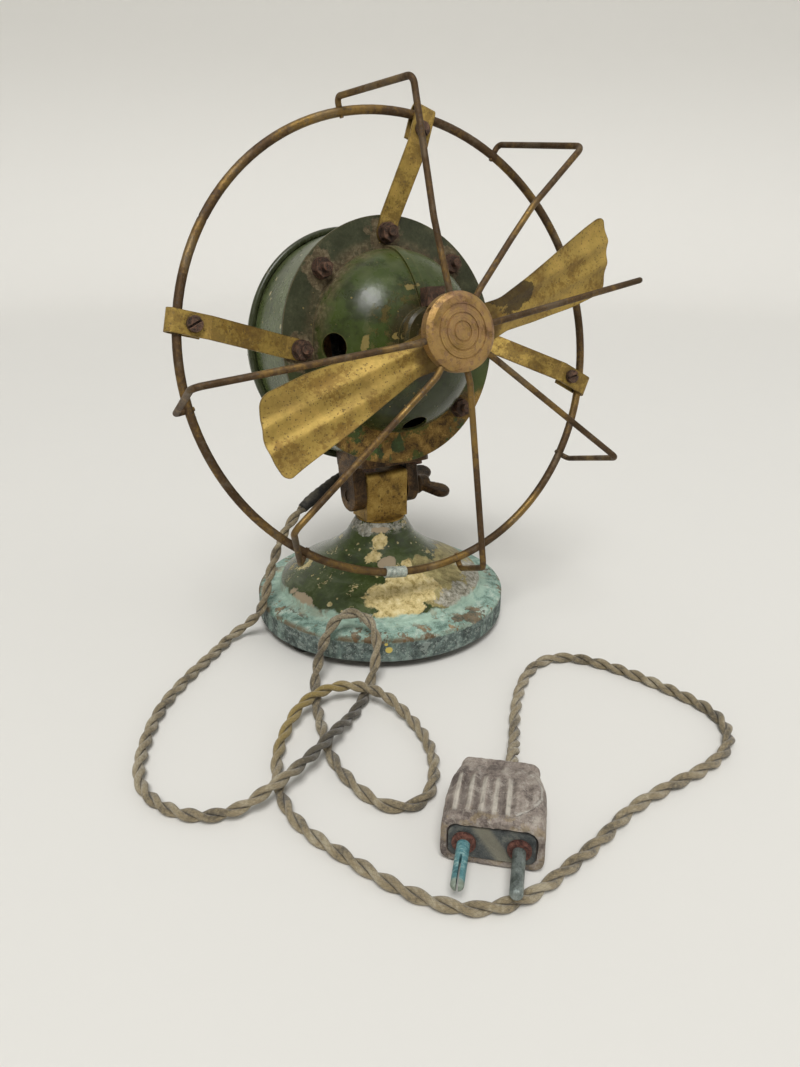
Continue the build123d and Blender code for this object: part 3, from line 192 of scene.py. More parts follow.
# ---------------- node building
class Nodes:
    """Adds nodes to one tree. A value is a number, a colour or its code, a vector or a socket."""

    def __init__(self, tree):
        self.tree = tree
        self.count = 0

    def add(self, kind, values=None, **settings):
        node = self.tree.nodes.new(kind)
        node.location = (200 * (self.count % 14), -280 * (self.count // 14))
        self.count += 1
        for key, value in settings.items():
            setattr(node, key, value)
        for key, value in (values or {}).items():
            self.put(node.inputs[key], value)
        return node

    def put(self, socket, value):
        if isinstance(value, bpy.types.NodeSocket):
            self.tree.links.new(value, socket)
        else:
            socket.default_value = tint(value) if isinstance(value, str) else value

    def math(self, operation, first, second=0.0):
        return self.add("ShaderNodeMath", {0: first, 1: second}, operation=operation).outputs[0]

    def vectors(self, operation, *values):
        return self.add("ShaderNodeVectorMath", dict(enumerate(values)), operation=operation).outputs

    def plus(self, first, second):
        return self.math("ADD", first, second)

    def less(self, first, second):
        return self.math("SUBTRACT", first, second)

    def times(self, *values):
        result = values[0]
        for value in values[1:]:
            result = self.math("MULTIPLY", result, value)
        return result

    def most(self, *values):
        result = values[0]
        for value in values[1:]:
            result = self.math("MAXIMUM", result, value)
        return result

    def step(self, value, low, high):
        """Rises smoothly from 0 at low to 1 at high, or falls where low is above high."""
        ends = (1.0, 0.0) if low > high else (0.0, 1.0)
        return self.add(
            "ShaderNodeMapRange",
            {0: value, 1: min(low, high), 2: max(low, high), 3: ends[0], 4: ends[1]},
            interpolation_type="SMOOTHSTEP",
        ).outputs[0]

    def mix(self, mask, first, second):
        return self.add("ShaderNodeMix", {0: mask, 6: first, 7: second}, data_type="RGBA").outputs[2]

    def blend(self, mask, first, second):
        """A number between two others."""
        return self.add("ShaderNodeMix", {0: mask, 2: first, 3: second}, data_type="FLOAT").outputs[0]

    def noise(self, vector, scale, detail=3.0, rough=0.5, distortion=0.0):
        values = {"Vector": vector, "Scale": scale, "Detail": detail, "Roughness": rough}
        values["Distortion"] = distortion
        return self.add("ShaderNodeTexNoise", values).outputs[0]

    def mapped(self, vector, location=(0, 0, 0), rotation=(0, 0, 0), scale=(1, 1, 1)):
        return self.add(
            "ShaderNodeMapping",
            {"Vector": vector, "Location": location, "Rotation": rotation, "Scale": scale},
        ).outputs[0]

    def split(self, vector):
        return self.add("ShaderNodeSeparateXYZ", {0: vector}).outputs

    def hypot(self, x, y):
        return self.math("SQRT", self.plus(self.times(x, x), self.times(y, y)))

    def jitter(self, height, vector, *noise):
        """Noise about zero, as high as the number says."""
        return self.times(self.less(self.noise(vector, *noise), 0.5), height)

    def object_mm(self, centre=Vector((0.0, 0.0, 0.0)), turn=0.0, axis="Z"):
        """Millimetres from a centre, turned about an axis."""
        place = self.add("ShaderNodeTexCoord").outputs["Object"]
        moved = Matrix.Rotation(turn, 3, axis) @ (centre * -1000)
        rotation = [turn if name == axis else 0 for name in "XYZ"]
        return self.mapped(place, moved, rotation, (1000, 1000, 1000))

    def motor_mm(self):
        """Millimetres from the motor's centre: across, up and forward along its axis."""
        return self.object_mm(MOTOR_CENTRE, HEAD_TILT - math.pi / 2, "X")

    def plug_mm(self):
        """Millimetres from the middle of the plug's face: out along the pins, across and up."""
        return self.object_mm(PLUG_CENTRE, -PLUG_TURN, "Z")

    def use(self, name, *values):
        """Places a shared node group with the values in its inputs' order, and returns its output."""
        node = self.add("ShaderNodeGroup")
        node.node_tree = bpy.data.node_groups[name]
        for socket, value in zip(node.inputs, values):
            self.put(socket, value)
        return node.outputs[0]


# ---------------- shared effects
def shared(name, build, **inputs):
    """Makes a node group from a Vector and the inputs, given by name and default, to one output."""
    kinds = {3: "NodeSocketVector", 4: "NodeSocketColor"}
    tree = bpy.data.node_groups.new(name, "ShaderNodeTree")
    labels = ["Vector", *inputs]
    for label in labels:
        default = inputs.get(label, (0, 0, 0))
        kind = "NodeSocketFloat" if isinstance(default, float) else kinds[len(default)]
        tree.interface.new_socket(label, in_out="INPUT", socket_type=kind).default_value = default
    kind = "NodeSocketColor" if name == "Tarnish" else "NodeSocketFloat"
    tree.interface.new_socket("Result", in_out="OUTPUT", socket_type=kind)
    n = Nodes(tree)
    given = n.add("NodeGroupInput").outputs
    result = build(n, *(given[label] for label in labels))
    n.put(n.add("NodeGroupOutput").inputs[0], result)


def build_blotches(n, vector, scale, level, ragged, edge):
    """Ragged areas: large shapes, broken up along their edges by finer ones."""
    coarse = n.noise(vector, scale, 2.0, 0.5, 0.3)
    fine = n.noise(vector, n.times(scale, 7.0), 4.0, 0.6)
    ragged = n.times(n.less(fine, 0.5), ragged)
    level = n.less(n.plus(coarse, ragged), level)
    return n.step(n.math("DIVIDE", level, edge), -1.0, 1.0)


def build_specks(n, vector, scale, size):
    """Round specks of many sizes, some of them missing."""
    cells = n.add("ShaderNodeTexVoronoi", {"Vector": vector, "Scale": scale, "Randomness": 1.0}).outputs
    random_size = n.split(cells["Color"])[0]
    size = n.times(n.math("POWER", random_size, 3.0), size)
    ragged = n.jitter(0.25, vector, n.times(scale, 3.0), 2.0)
    distance = n.plus(cells["Distance"], ragged)
    edge = n.less(distance, size)
    return n.step(edge, 0.03, -0.03)


def build_patch(n, vector, centre, size, ragged):
    """One area at a chosen place, its outline made ragged."""
    away = n.vectors("DIVIDE", n.vectors("SUBTRACT", vector, centre)[0], size)[0]
    distance = n.vectors("LENGTH", away)["Value"]
    coarse = n.jitter(2.4, vector, 0.16, 2.0, 0.5, 0.5)
    fine = n.jitter(0.9, vector, 0.8, 4.0, 0.65)
    ragged = n.times(n.plus(coarse, fine), ragged)
    return n.step(n.plus(distance, ragged), 1.06, 0.94)


def build_edges(n, vector, radius):
    """The edges of the piece, where finish rubs away."""
    rounded = n.add("ShaderNodeBevel", {"Radius": radius}, samples=4).outputs[0]
    flat = n.add("ShaderNodeNewGeometry").outputs["Normal"]
    turned = n.less(1.0, n.vectors("DOT_PRODUCT", rounded, flat)["Value"])
    broken = n.jitter(0.10, vector, 1.3, 4.0, 0.65)
    return n.step(n.plus(turned, broken), 0.02, 0.14)


def build_crevices(n, vector, reach):
    """Corners and joints: dirt that gathers there, and painted shade where ambient occlusion finds them
    closed in.
    """
    open_sky = n.add("ShaderNodeAmbientOcclusion", {"Distance": reach}, samples=6).outputs["AO"]
    broken = n.jitter(0.5, vector, 0.5, 4.0, 0.6)
    return n.step(n.plus(open_sky, broken), 0.85, 0.25)


def build_dust(n, vector, amount):
    """Dust on faces that look up."""
    upward = n.split(n.add("ShaderNodeNewGeometry").outputs["Normal"])[2]
    patchy = n.noise(vector, 0.22, 5.0, 0.65)
    grain = n.noise(vector, 3.0, 2.0)
    lying = n.times(n.step(upward, 0.15, 0.9), n.step(patchy, 0.30, 0.72))
    return n.times(lying, n.blend(grain, 0.55, 1.0), amount)


def build_tarnish(n, vector, scale, dark, middle, light):
    """Three shades of one metal, cloudy and grained."""
    cloudy = n.noise(vector, scale, 4.0, 0.62, 0.4)
    grained = n.noise(vector, n.times(scale, 9.0), 4.0, 0.7)
    shade = n.plus(cloudy, n.times(n.less(grained, 0.5), 0.55))
    lower = n.mix(n.step(shade, 0.34, 0.50), dark, middle)
    return n.mix(n.step(shade, 0.50, 0.68), lower, light)


def build_scratches(n, vector, scale):
    """Fine straight scratches in two directions."""
    marks = []
    for turn, stretch in ((0.4, 16.0), (-0.9, 22.0)):
        laid = n.mapped(vector, rotation=(turn, turn * 0.7, turn), scale=(1.0, stretch, stretch * 0.6))
        line = n.noise(laid, scale, 2.0, 0.5)
        marks.append(n.step(line, 0.69, 0.74))
    return n.most(*marks)


def build_braid(n, vector):
    """Threads of a round braid: two crossing sets, each over and under the other."""
    x, y, _ = n.split(vector)
    left = n.plus(x, y)
    right = n.less(x, y)
    wave_left = n.math("ABSOLUTE", n.math("SINE", n.times(left, math.pi)))
    wave_right = n.math("ABSOLUTE", n.math("SINE", n.times(right, math.pi)))
    over = n.math("SINE", n.times(x, math.pi))
    over = n.times(over, n.math("SINE", n.times(y, math.pi)))
    chosen = n.step(over, -0.2, 0.2)
    return n.blend(chosen, wave_left, wave_right)


def make_shared_effects():
    white = (1, 1, 1, 1)
    shared("Blotches", build_blotches, Scale=0.1, Level=0.6, Ragged=0.3, Edge=0.02)
    shared("Specks", build_specks, Scale=0.5, Size=0.5)
    shared("Patch", build_patch, Centre=(0, 0, 0), Size=(1, 1, 1), Ragged=0.5)
    shared("Edges", build_edges, Radius=0.0008)
    shared("Crevices", build_crevices, Reach=0.006)
    shared("Dust", build_dust, Amount=1.0)
    shared("Tarnish", build_tarnish, Scale=0.1, Dark=white, Middle=white, Light=white)
    shared("Scratches", build_scratches, Scale=0.2)
    shared("Braid", build_braid)


# ---------------- finishes
def finish(name, recipe):
    """A material made by a recipe, which returns the sockets or numbers of its shader."""
    material = bpy.data.materials.new(name)
    material.use_nodes = True
    tree = material.node_tree
    tree.nodes.clear()
    n = Nodes(tree)
    made = recipe(n)
    shader = n.add("ShaderNodeBsdfPrincipled")
    height = made.pop("Height", None)
    depth = made.pop("Depth", 0.0002)
    for key, value in made.items():
        n.put(shader.inputs[key], value)
    if height is not None:
        bump = n.add("ShaderNodeBump", {"Strength": 1.0, "Distance": depth, "Height": height})
        n.put(shader.inputs["Normal"], bump.outputs[0])
    leave = n.add("ShaderNodeOutputMaterial")
    n.put(leave.inputs["Surface"], shader.outputs[0])
    return material


def colours():
    return bpy.context.scene.fan_colours


def sizes():
    return bpy.context.scene.fan_sizes


def layered(n, base, *layers):
    """Lays colours over a base: each layer is its mask, at times a share of it, and its colour."""
    for mask, *share, colour in layers:
        base = n.mix(n.times(mask, *share), base, colour)
    return base


def patches(n, vector, *areas):
    """The chosen areas together: each is its centre, its half widths and how ragged it is."""
    return n.most(*(n.use("Patch", vector, *area) for area in areas))


def surface(colour, rough, height=None, depth=0.0002, **others):
    """A recipe's result. The others are named as the shader's inputs are, with _ for a space."""
    made = {"Base Color": colour, "Roughness": rough, "Height": height, "Depth": depth}
    made.update((key.replace("_", " "), value) for key, value in others.items())
    return made


def enamel_base(n):
    """Base: olive enamel on the cone, chips to cream and pink, verdigris on the flange and rim."""
    c = colours()
    p = n.object_mm()
    x, y, z = n.split(p)
    radius = n.hypot(x, y)

    def worn_areas(*areas):
        return patches(n, p, *((*place, ragged * sizes().wear) for *place, ragged in areas))

    sound = n.use("Tarnish", p, 0.05, "2c3418", c.enamel, "4c5631")
    streaks = n.noise(n.mapped(p, scale=(0.05, 0.05, 0.35)), 1, 4, 0.6)
    sound = n.mix(n.times(n.step(streaks, 0.52, 0.75), 0.35), sound, "6c745a")
    cream = worn_areas(
        ((-9.5, -15.5, 49.5), (3.6, 3.6, 5.2), 0.7),
        ((-15.5, -19, 43.2), (4.6, 4.6, 3), 0.8),
        ((-12, -42, 30.8), (23, 12, 8), 0.36),
        ((-18, -50.5, 25.2), (18, 6, 3.6), 0.5),
        ((-1, -29, 39.4), (3.2, 3.2, 2.2), 0.6),
    )
    pink = worn_areas(
        ((-10.3, -25, 40.8), (5.6, 3.8, 3.4), 0.35),
        ((-53, -10, 23.4), (5, 11, 3.4), 0.5),
        ((-7.5, -12.5, 54.6), (6, 4, 1.6), 0.8),
    )
    khaki = worn_areas(
        ((6.5, -33, 35.5), (11, 10, 8), 0.35),
        ((18, -42, 29), (30, 18, 12), 0.3),
        ((34, -24, 29), (28, 30, 10), 0.4),
    )
    ashen = n.most(
        worn_areas(
            ((18, -48, 25), (16, 8, 4.4), 0.8),
            ((40, -33, 26), (13, 20, 6), 0.7),
            ((-14.5, -8, 54), (5, 6, 3), 0.9),
        ),
        n.times(n.step(z, 51, 56), n.use("Blotches", p, 0.16, 0.48, 0.5)),
    )
    flakes = n.most(
        n.use("Specks", p, 0.22, 0.34),
        n.times(n.use("Blotches", p, 0.12, 0.66, 0.5), n.step(z, 24, 28)),
    )
    creamy = n.use("Tarnish", p, 0.35, "96844f", c.undercoat, "d9cb9d")
    khaki_tone = n.use("Tarnish", p, 0.2, "6a6038", "8b7f52", "aa9f6d")
    ashen_tone = n.use("Tarnish", p, 0.45, "5d5b50", "98958a", "c2c1b6")
    cone = layered(
        n, sound,
        (flakes, 0.75, creamy),
        (khaki, khaki_tone),
        (ashen, 0.85, ashen_tone),
        (pink, "a3937a"),
        (cream, creamy),
    )
    # the flange and rim have lost their enamel and turned green and white
    border = n.plus(z, n.jitter(7, p, 0.12, 4, 0.6))
    on_flange = n.step(border, 24.2, 22.4)
    verdigris = n.use("Tarnish", n.mapped(p, scale=(1, 1, 2.2)), 0.16, "5d7469", c.verdigris, "b9c8bb")
    brown_metal = n.use("Tarnish", p, 0.14, "3f3325", "6e5237", "9b774c")
    bare = n.use("Blotches", n.mapped(p, scale=(1, 1, 0.4)), 0.09, 0.58, 0.5)
    flange = n.mix(n.times(bare, 0.8), verdigris, brown_metal)
    # copper shows through along the rim's edge, most at the left and front
    rim = n.times(n.step(z, 14.6, 16.2), n.step(z, 18.6, 16.9), n.step(radius, 65.6, 67.2))
    left_front = n.step(n.plus(n.times(x, 0.9), n.times(y, 0.4)), -8, -38)
    rim = n.times(rim, n.plus(n.times(left_front, 0.85), 0.15))
    mint = n.times(n.step(radius, 53, 56), n.step(radius, 61.5, 58))
    mint = n.times(mint, n.step(n.noise(p, 0.15, 3), 0.3, 0.5))
    coppery = n.times(rim, n.step(n.noise(p, 0.12, 4, 0.6), 0.4, 0.56))
    flange = layered(n, flange, (mint, 0.6, "b3cbb9"), (coppery, 0.8, "6f563b"))
    skirt_tone = n.use("Tarnish", p, 0.2, "39403d", "525d59", "74837d")
    mineral = n.most(n.use("Specks", p, 0.7, 0.62), n.use("Blotches", p, 0.25, 0.6, 0.7))
    skirt = layered(n, skirt_tone, (mineral, 0.45, "a3aea6"))
    drip = n.step(n.noise(n.mapped(p, scale=(0.14, 0.14, 0.02)), 1, 3), 0.52, 0.68)
    skirt = n.mix(n.times(drip, 0.35), skirt, verdigris)
    below = n.step(n.plus(z, n.times(n.noise(p, 0.3, 3), 1.5)), 16.9, 15.6)
    metal_part = n.mix(below, flange, skirt)
    colour = n.mix(on_flange, cone, metal_part)
    brass_dot = worn_areas(
        ((-30.7, -60.9, 11.9), (1.9, 1.6, 1.7), 0.25), ((-32, -60.3, 15), (1, 1, 0.9), 0.4)
    )
    colour = n.mix(brass_dot, colour, "c9b45f")
    # dirt and painted shade: darker in corners and joints that ambient occlusion finds closed in
    dirt_and_shade = n.use("Crevices", p, 0.006)
    colour = n.mix(n.times(dirt_and_shade, 0.7), colour, "2a2a20")
    missing = n.most(cream, pink, n.times(khaki, 0.6), n.times(ashen, 0.5), n.times(flakes, 0.4))
    gloss = n.blend(n.most(missing, on_flange), 0.24, 0.78)
    grain = n.noise(p, 1.6, 5, 0.7)
    corroded = n.times(n.noise(p, 0.5, 6, 0.7), on_flange)
    height = n.less(n.plus(n.times(grain, 0.25), n.times(corroded, 1.3)), n.times(missing, 0.5))
    return surface(
        colour, gloss, height, 0.00045, Metallic=n.times(rim, 0.4),
        Coat_Weight=n.times(n.less(1, n.most(missing, on_flange)), 0.15), Coat_Roughness=0.12,
        Specular_IOR_Level=0.35,
    )


def enamel_shell(n):
    """Front shell: olive enamel, dusty flange, chips, bare metal low down and at the nose."""
    c = colours()
    p = n.motor_mm()
    x, y, d = n.split(p)
    radius = n.hypot(x, y)
    sound = n.use("Tarnish", p, 0.03, "272f10", c.enamel, "3f4a20")
    faded = n.use("Blotches", p, 0.05, 0.58, 0.3, 0.14)
    sound = n.mix(n.times(faded, 0.25), sound, c.enamel_faded)
    flange = n.step(d, 18, 15.6)
    grey_flange = n.use("Tarnish", p, 0.09, "2a2a1e", "38382a", "4e4c3a")
    sound = n.mix(n.times(flange, n.step(y, -30, 0), 0.8), sound, grey_flange)

    # a ring of brown dust lies in the corner between dome and flange, thickest above
    corner = n.times(n.step(radius, 40, 44.5), n.step(radius, 51, 45), n.step(y, -18, 22))
    haze = n.times(corner, n.step(n.noise(p, 0.16, 5, 0.65), 0.3, 0.62))
    halo = patches(
        n, p,
        ((-35.8, 35.8, 15), (9, 9, 9), 0.6), ((0, 50.7, 15), (9.5, 8, 9), 0.6),
        ((35.8, 35.8, 15), (8, 8, 9), 0.6), ((-50.7, 0, 15), (8, 8.5, 9), 0.6),
        ((36, -35.8, 15), (8, 8, 9), 0.6),
    )
    dust_tone = n.use("Tarnish", p, 0.5, "4a3d2e", "62553f", "82755c")
    bare_low = n.times(
        n.step(y, -24, -33), n.step(d, 19.5, 16.5),
        n.use("Blotches", p, 0.11, 0.41, 0.35, 0.03),
    )
    bare_metal = n.use("Tarnish", p, 0.16, "4a3921", "7d6233", "a5854a")
    light_green = n.times(n.step(y, -34, -42), n.use("Blotches", p, 0.13, 0.6, 0.4))
    nose = n.step(n.plus(radius, n.times(n.noise(p, 0.2, 3), 7)), 25.5, 20)
    gold = n.times(n.step(radius, 31, 24), n.step(x, 2, -8), n.use("Blotches", p, 0.24, 0.58, 0.6))
    chips = n.most(
        patches(
            n, p,
            ((-29.1, 2.3, 38.2), (1.1, 2.4, 2.6), 2.2), ((-15.9, 2.8, 43.5), (1.8, 2, 2.6), 2.2),
            ((-4.1, 24, 40.8), (3.6, 1.4, 2.4), 2.2), ((-31, -8, 36), (1.2, 1, 1.5), 0.5),
        ),
        n.use("Specks", p, 0.3, 0.16),
    )
    under = n.step(y, -6, -30)
    shaded = n.times(under, n.step(d, 17, 22), 0.55)
    colour = layered(
        n, sound,
        (shaded, "2c2a1e"),
        (haze, 0.8, dust_tone),
        (halo, 0.8, dust_tone),
        (nose, 0.75, "33291c"),
        (gold, 0.35, "7a6236"),
        (bare_low, bare_metal),
        (light_green, 0.7, "40562a"),
        (chips, 0.6, "9a8550"),
    )
    edges = n.use("Edges", p, 0.0007)
    colour = n.mix(n.times(edges, 0.55), colour, "77663f")
    dust = n.use("Dust", p, 0.12 * sizes().dust)
    colour = n.mix(dust, colour, "8d8570")
    matt = n.most(haze, halo, bare_low, n.times(dust, 1.5), n.times(flange, 0.5), gold)
    gloss = n.plus(n.blend(matt, 0.2, 0.62), n.times(n.noise(p, 0.12, 4), 0.12))
    orange_peel = n.noise(p, 0.22, 2, 0.5)
    grit = n.times(n.noise(p, 2.4, 3, 0.7), n.plus(n.times(matt, 0.6), 0.06))
    height = n.less(n.plus(n.times(orange_peel, 0.22), grit), n.times(chips, 0.4))
    height = n.less(height, n.times(bare_low, 0.35))
    return surface(
        colour, gloss, height, 0.0004, Metallic=n.times(n.most(bare_low, gold), 0.45),
        Coat_Weight=n.times(n.less(1, matt), 0.12), Coat_Roughness=0.12, Specular_IOR_Level=0.24,
    )


def enamel_drum(n):
    """Drum and rear cover: glossy grey-green enamel with pale upright streaks."""
    p = n.motor_mm()
    x, y, d = n.split(p)
    tone = n.use("Tarnish", p, 0.04, "353f1e", "46502c", "586240")
    upright = n.noise(n.mapped(p, scale=(0.5, 0.06, 0.5)), 1, 5, 0.65)
    streaks = n.step(upright, 0.54, 0.74)
    chips = n.use("Specks", p, 0.2, 0.26)
    edges = n.use("Edges", p, 0.0009)
    rubbed = n.times(edges, n.step(n.noise(p, 0.3, 4, 0.6), 0.4, 0.55))
    rear_rim = n.times(n.step(n.hypot(x, y), 57.6, 58.6), n.step(d, -22, -23.5))
    colour = layered(
        n, tone,
        (streaks, 0.35, "828a72"),
        (chips, 0.8, "b5ab85"),
        (rear_rim, 0.8, "2f3122"),
        (rubbed, 0.6, "7f6b42"),
    )
    dust = n.use("Dust", p, 0.25 * sizes().dust)
    colour = n.mix(dust, colour, "827d68")
    # dirt and painted shade: darker in corners and joints that ambient occlusion finds closed in
    dirt_and_shade = n.use("Crevices", p, 0.005)
    colour = n.mix(n.times(dirt_and_shade, 0.6), colour, "2b2a20")
    gloss = n.plus(n.blend(n.most(streaks, dust), 0.22, 0.45), n.times(n.noise(p, 0.2, 3), 0.1))
    height = n.less(n.times(n.noise(p, 0.3, 3, 0.5), 0.3), n.times(n.most(chips, rubbed), 0.4))
    return surface(
        colour, gloss, height, 0.0003, Coat_Weight=0.1, Coat_Roughness=0.15, Specular_IOR_Level=0.32,
    )


def sheet_brass(n):
    """Blades and straps: the point, the golden colour, its black pepper and its grain."""
    c = colours()
    p = n.object_mm()
    tone = n.use("Tarnish", p, 0.07, "85692f", c.brass, "b3954d")
    fine = n.noise(p, 2.2, 4, 0.75)
    pepper = n.most(
        n.use("Specks", p, 1.2, 0.5),
        n.times(n.use("Specks", n.mapped(p, location=(31, 17, 5)), 0.5, 0.3), 0.7),
        n.times(n.step(fine, 0.62, 0.74), 0.7),
    )
    stain = n.use("Blotches", p, 0.06, 0.6, 0.45, 0.08)
    edges = n.use("Edges", p, 0.0009)
    colour = layered(n, tone, (stain, 0.3, "6b5229"), (pepper, 0.62, "473519"), (edges, 0.65, "3d2d18"))
    return p, colour, pepper, fine


def brass_of_straps(n):
    p, brass, pepper, fine = sheet_brass(n)
    # dirt and painted shade: darker in corners and joints that ambient occlusion finds closed in
    dirt_and_shade = n.use("Crevices", p, 0.004)
    worn = n.use("Blotches", p, 0.1, 0.5, 0.5, 0.08)
    colour = layered(n, brass, (worn, 0.45, "60492a"), (dirt_and_shade, 0.8, "2c2014"))
    lines = n.use("Scratches", p, 0.12)
    rough = n.plus(n.blend(n.most(pepper, worn), 0.42, 0.62), n.times(fine, 0.1))
    height = n.less(n.times(fine, 0.35), n.times(n.most(lines, pepper), 0.3))
    return surface(colour, rough, height, 0.0002, Metallic=n.blend(pepper, 0.65, 0.3))


def brass_of_blades(n):
    """Adds painted shade, darker brass on the blades' inner ends beyond the middle disc, and a ragged
    stain on the upper blade.
    """
    _, brass, pepper, fine = sheet_brass(n)
    p = n.motor_mm()
    x, y, _ = n.split(p)
    radius = n.hypot(x, y)
    # painted shade: the blades' inner ends beyond the middle disc, where each blade bends flat into the
    # hub, are painted darker brass and also made rougher
    ragged = n.jitter(6, p, 0.3, 4, 0.6)
    painted_root_shade = n.step(n.plus(radius, ragged), 27, 21)
    upper = n.use("Patch", p, (31, 17, 69), (13, 7, 9), 0.6)
    colour = layered(n, brass, (painted_root_shade, 0.6, "4a3620"), (upper, 0.8, "32271a"))
    rough = n.plus(n.blend(n.most(pepper, painted_root_shade), 0.5, 0.66), n.times(fine, 0.1))
    height = n.less(n.times(fine, 0.35), n.times(pepper, 0.3))
    return surface(colour, rough, height, 0.00018, Metallic=n.blend(pepper, 0.55, 0.2))


def aged_wire(n):
    """Guard wire: brown patina, rubbed back to brass in places."""
    c = colours()
    p = n.object_mm()
    tone = n.use("Tarnish", p, 0.06, "4b3a26", c.bronze, "7d6338")
    rubbed = n.use("Blotches", p, 0.03, 0.6, 0.35, 0.1)
    grey = n.use("Blotches", n.mapped(p, location=(70, 9, 40)), 0.05, 0.6, 0.5, 0.06)
    specks = n.use("Specks", p, 0.9, 0.6)
    colour = layered(n, tone, (rubbed, 0.55, "97793f"), (grey, 0.3, "7f7462"), (specks, 0.45, "2f2317"))
    grain = n.noise(p, 1.8, 5, 0.7)
    rough = n.plus(n.blend(rubbed, 0.55, 0.34), n.times(grain, 0.14))
    height = n.less(n.times(grain, 0.5), n.times(specks, 0.35))
    return surface(colour, rough, height, 0.0003, Metallic=n.blend(specks, 0.8, 0.2))


def copper_boss(n):
    """Guard boss: pinkish copper with turning rings and rusty spots."""
    c = colours()
    p = n.motor_mm()
    x, y, _ = n.split(p)
    radius = n.hypot(n.plus(x, BOSS_LEFT), n.plus(y, -BOSS_ABOVE))
    tone = n.use("Tarnish", p, 0.18, "6d5030", c.copper, "a98a58")
    golden = n.use("Blotches", p, 0.07, 0.46, 0.4, 0.14)
    spots = n.most(n.use("Specks", p, 0.42, 0.5), n.use("Blotches", p, 0.28, 0.63, 0.6))
    rings = n.math("ABSOLUTE", n.math("SINE", n.times(radius, 2.9)))
    turning = n.times(n.step(rings, 0.35, 0), n.step(radius, 12.5, 9))
    colour = layered(
        n, tone,
        (golden, 0.55, "a98a4c"),
        (spots, 0.5, "5f3f2c"),
        (turning, 0.25, "6b4e33"),
    )
    grain = n.noise(p, 1.6, 5, 0.7)
    rough = n.plus(0.42, n.times(grain, 0.2))
    height = n.less(n.times(grain, 0.4), n.times(n.most(turning, spots), 0.4))
    return surface(colour, rough, height, 0.0003, Metallic=n.blend(spots, 0.75, 0.25))


def metal(
    dark, middle, light, scale=0.15, rough=0.5, metallic=0.7, spots="241a12", spotted=0.6, depth=0.0003
):
    """A recipe for an old metal surface in three shades with darker spots."""

    def recipe(n):
        p = n.object_mm()
        tone = n.use("Tarnish", p, scale, dark, middle, light)
        marks = n.use("Specks", p, scale * 4, 0.55)
        edges = n.use("Edges", p, 0.0007)
        # dirt and painted shade: darker in corners and joints that ambient occlusion finds closed in
        dirt_and_shade = n.use("Crevices", p, 0.004)
        colour = layered(n, tone, (marks, spotted, spots), (edges, 0.45, light), (dirt_and_shade, 0.7, dark))
        grain = n.noise(p, 1.9, 5, 0.7)
        roughness = n.plus(rough - 0.08, n.times(grain, 0.2))
        height = n.less(grain, n.times(marks, 0.5))
        return surface(colour, roughness, height, depth, Metallic=metallic)

    return recipe


def plain_stuff(dark, middle, light, scale=0.3, rough=0.7, depth=0.0002, coat=0):
    """A recipe for rubber, cotton, board and carbon: three shades and a fine grain."""

    def recipe(n):
        p = n.object_mm()
        tone = n.use("Tarnish", p, scale, dark, middle, light)
        dust = n.use("Dust", p, 0.5 * sizes().dust)
        colour = n.mix(dust, tone, "8d8470")
        grain = n.noise(p, 2.6, 5, 0.7)
        return surface(
            colour, n.plus(rough - 0.05, n.times(grain, 0.15)), grain, depth, Coat_Weight=coat,
        )

    return recipe


def braided_cloth(n):
    """Cord: grey-brown braid, ochre on one stretch and near black on two, thin worn threads."""
    c = colours()
    p = n.object_mm()
    length_way = n.add("ShaderNodeUVMap", uv_map="Along").outputs[0]
    around, along, _ = n.split(length_way)
    threads = n.mapped(length_way, scale=(12, 1 / (2 * sizes().braid_pitch), 1))
    weave = n.use("Braid", threads)
    tone = n.use("Tarnish", p, 0.09, "5d5442", c.braid, "a3987f")
    ochre = n.times(n.step(along, 0.715, 0.735), n.step(along, 0.8, 0.775))
    # near black on the first few centimetres from the motor and on one stretch further along
    near_black_stretches = n.most(
        n.step(along, 0.052, 0.035),
        n.times(n.step(along, 0.335, 0.355), n.step(along, 0.435, 0.405)),
    )
    speckled = n.times(
        n.step(along, 0.44, 0.455), n.step(along, 0.6, 0.585),
        n.step(n.noise(p, 1.1, 3, 0.7), 0.46, 0.6),
    )
    fluff = n.noise(n.mapped(length_way, scale=(3, 900, 1)), 1, 3, 0.6)
    colour = layered(
        n, tone,
        (ochre, 0.8, c.braid_ochre),
        (speckled, 0.6, "4b4437"),
        (near_black_stretches, 0.8, "2e2b25"),
        # painted shade: darker in the hollows between the braid's threads
        (n.times(n.step(weave, 0.55, 0.1), 0.45), "3f3829"),
        (n.times(n.step(fluff, 0.58, 0.74), 0.35), "b5ab93"),
    )
    # dirt and painted shade: darker in the groove between the strands and in corners that ambient
    # occlusion finds closed in
    dirt_and_shade = n.use("Crevices", p, 0.0022)
    colour = n.mix(n.times(dirt_and_shade, 0.75), colour, "2b251a")
    height = n.plus(weave, n.times(n.noise(p, 2.6, 3), 0.7))
    return surface(colour, 0.86, height, 0.00016, Sheen_Weight=0.25, Sheen_Roughness=0.5)


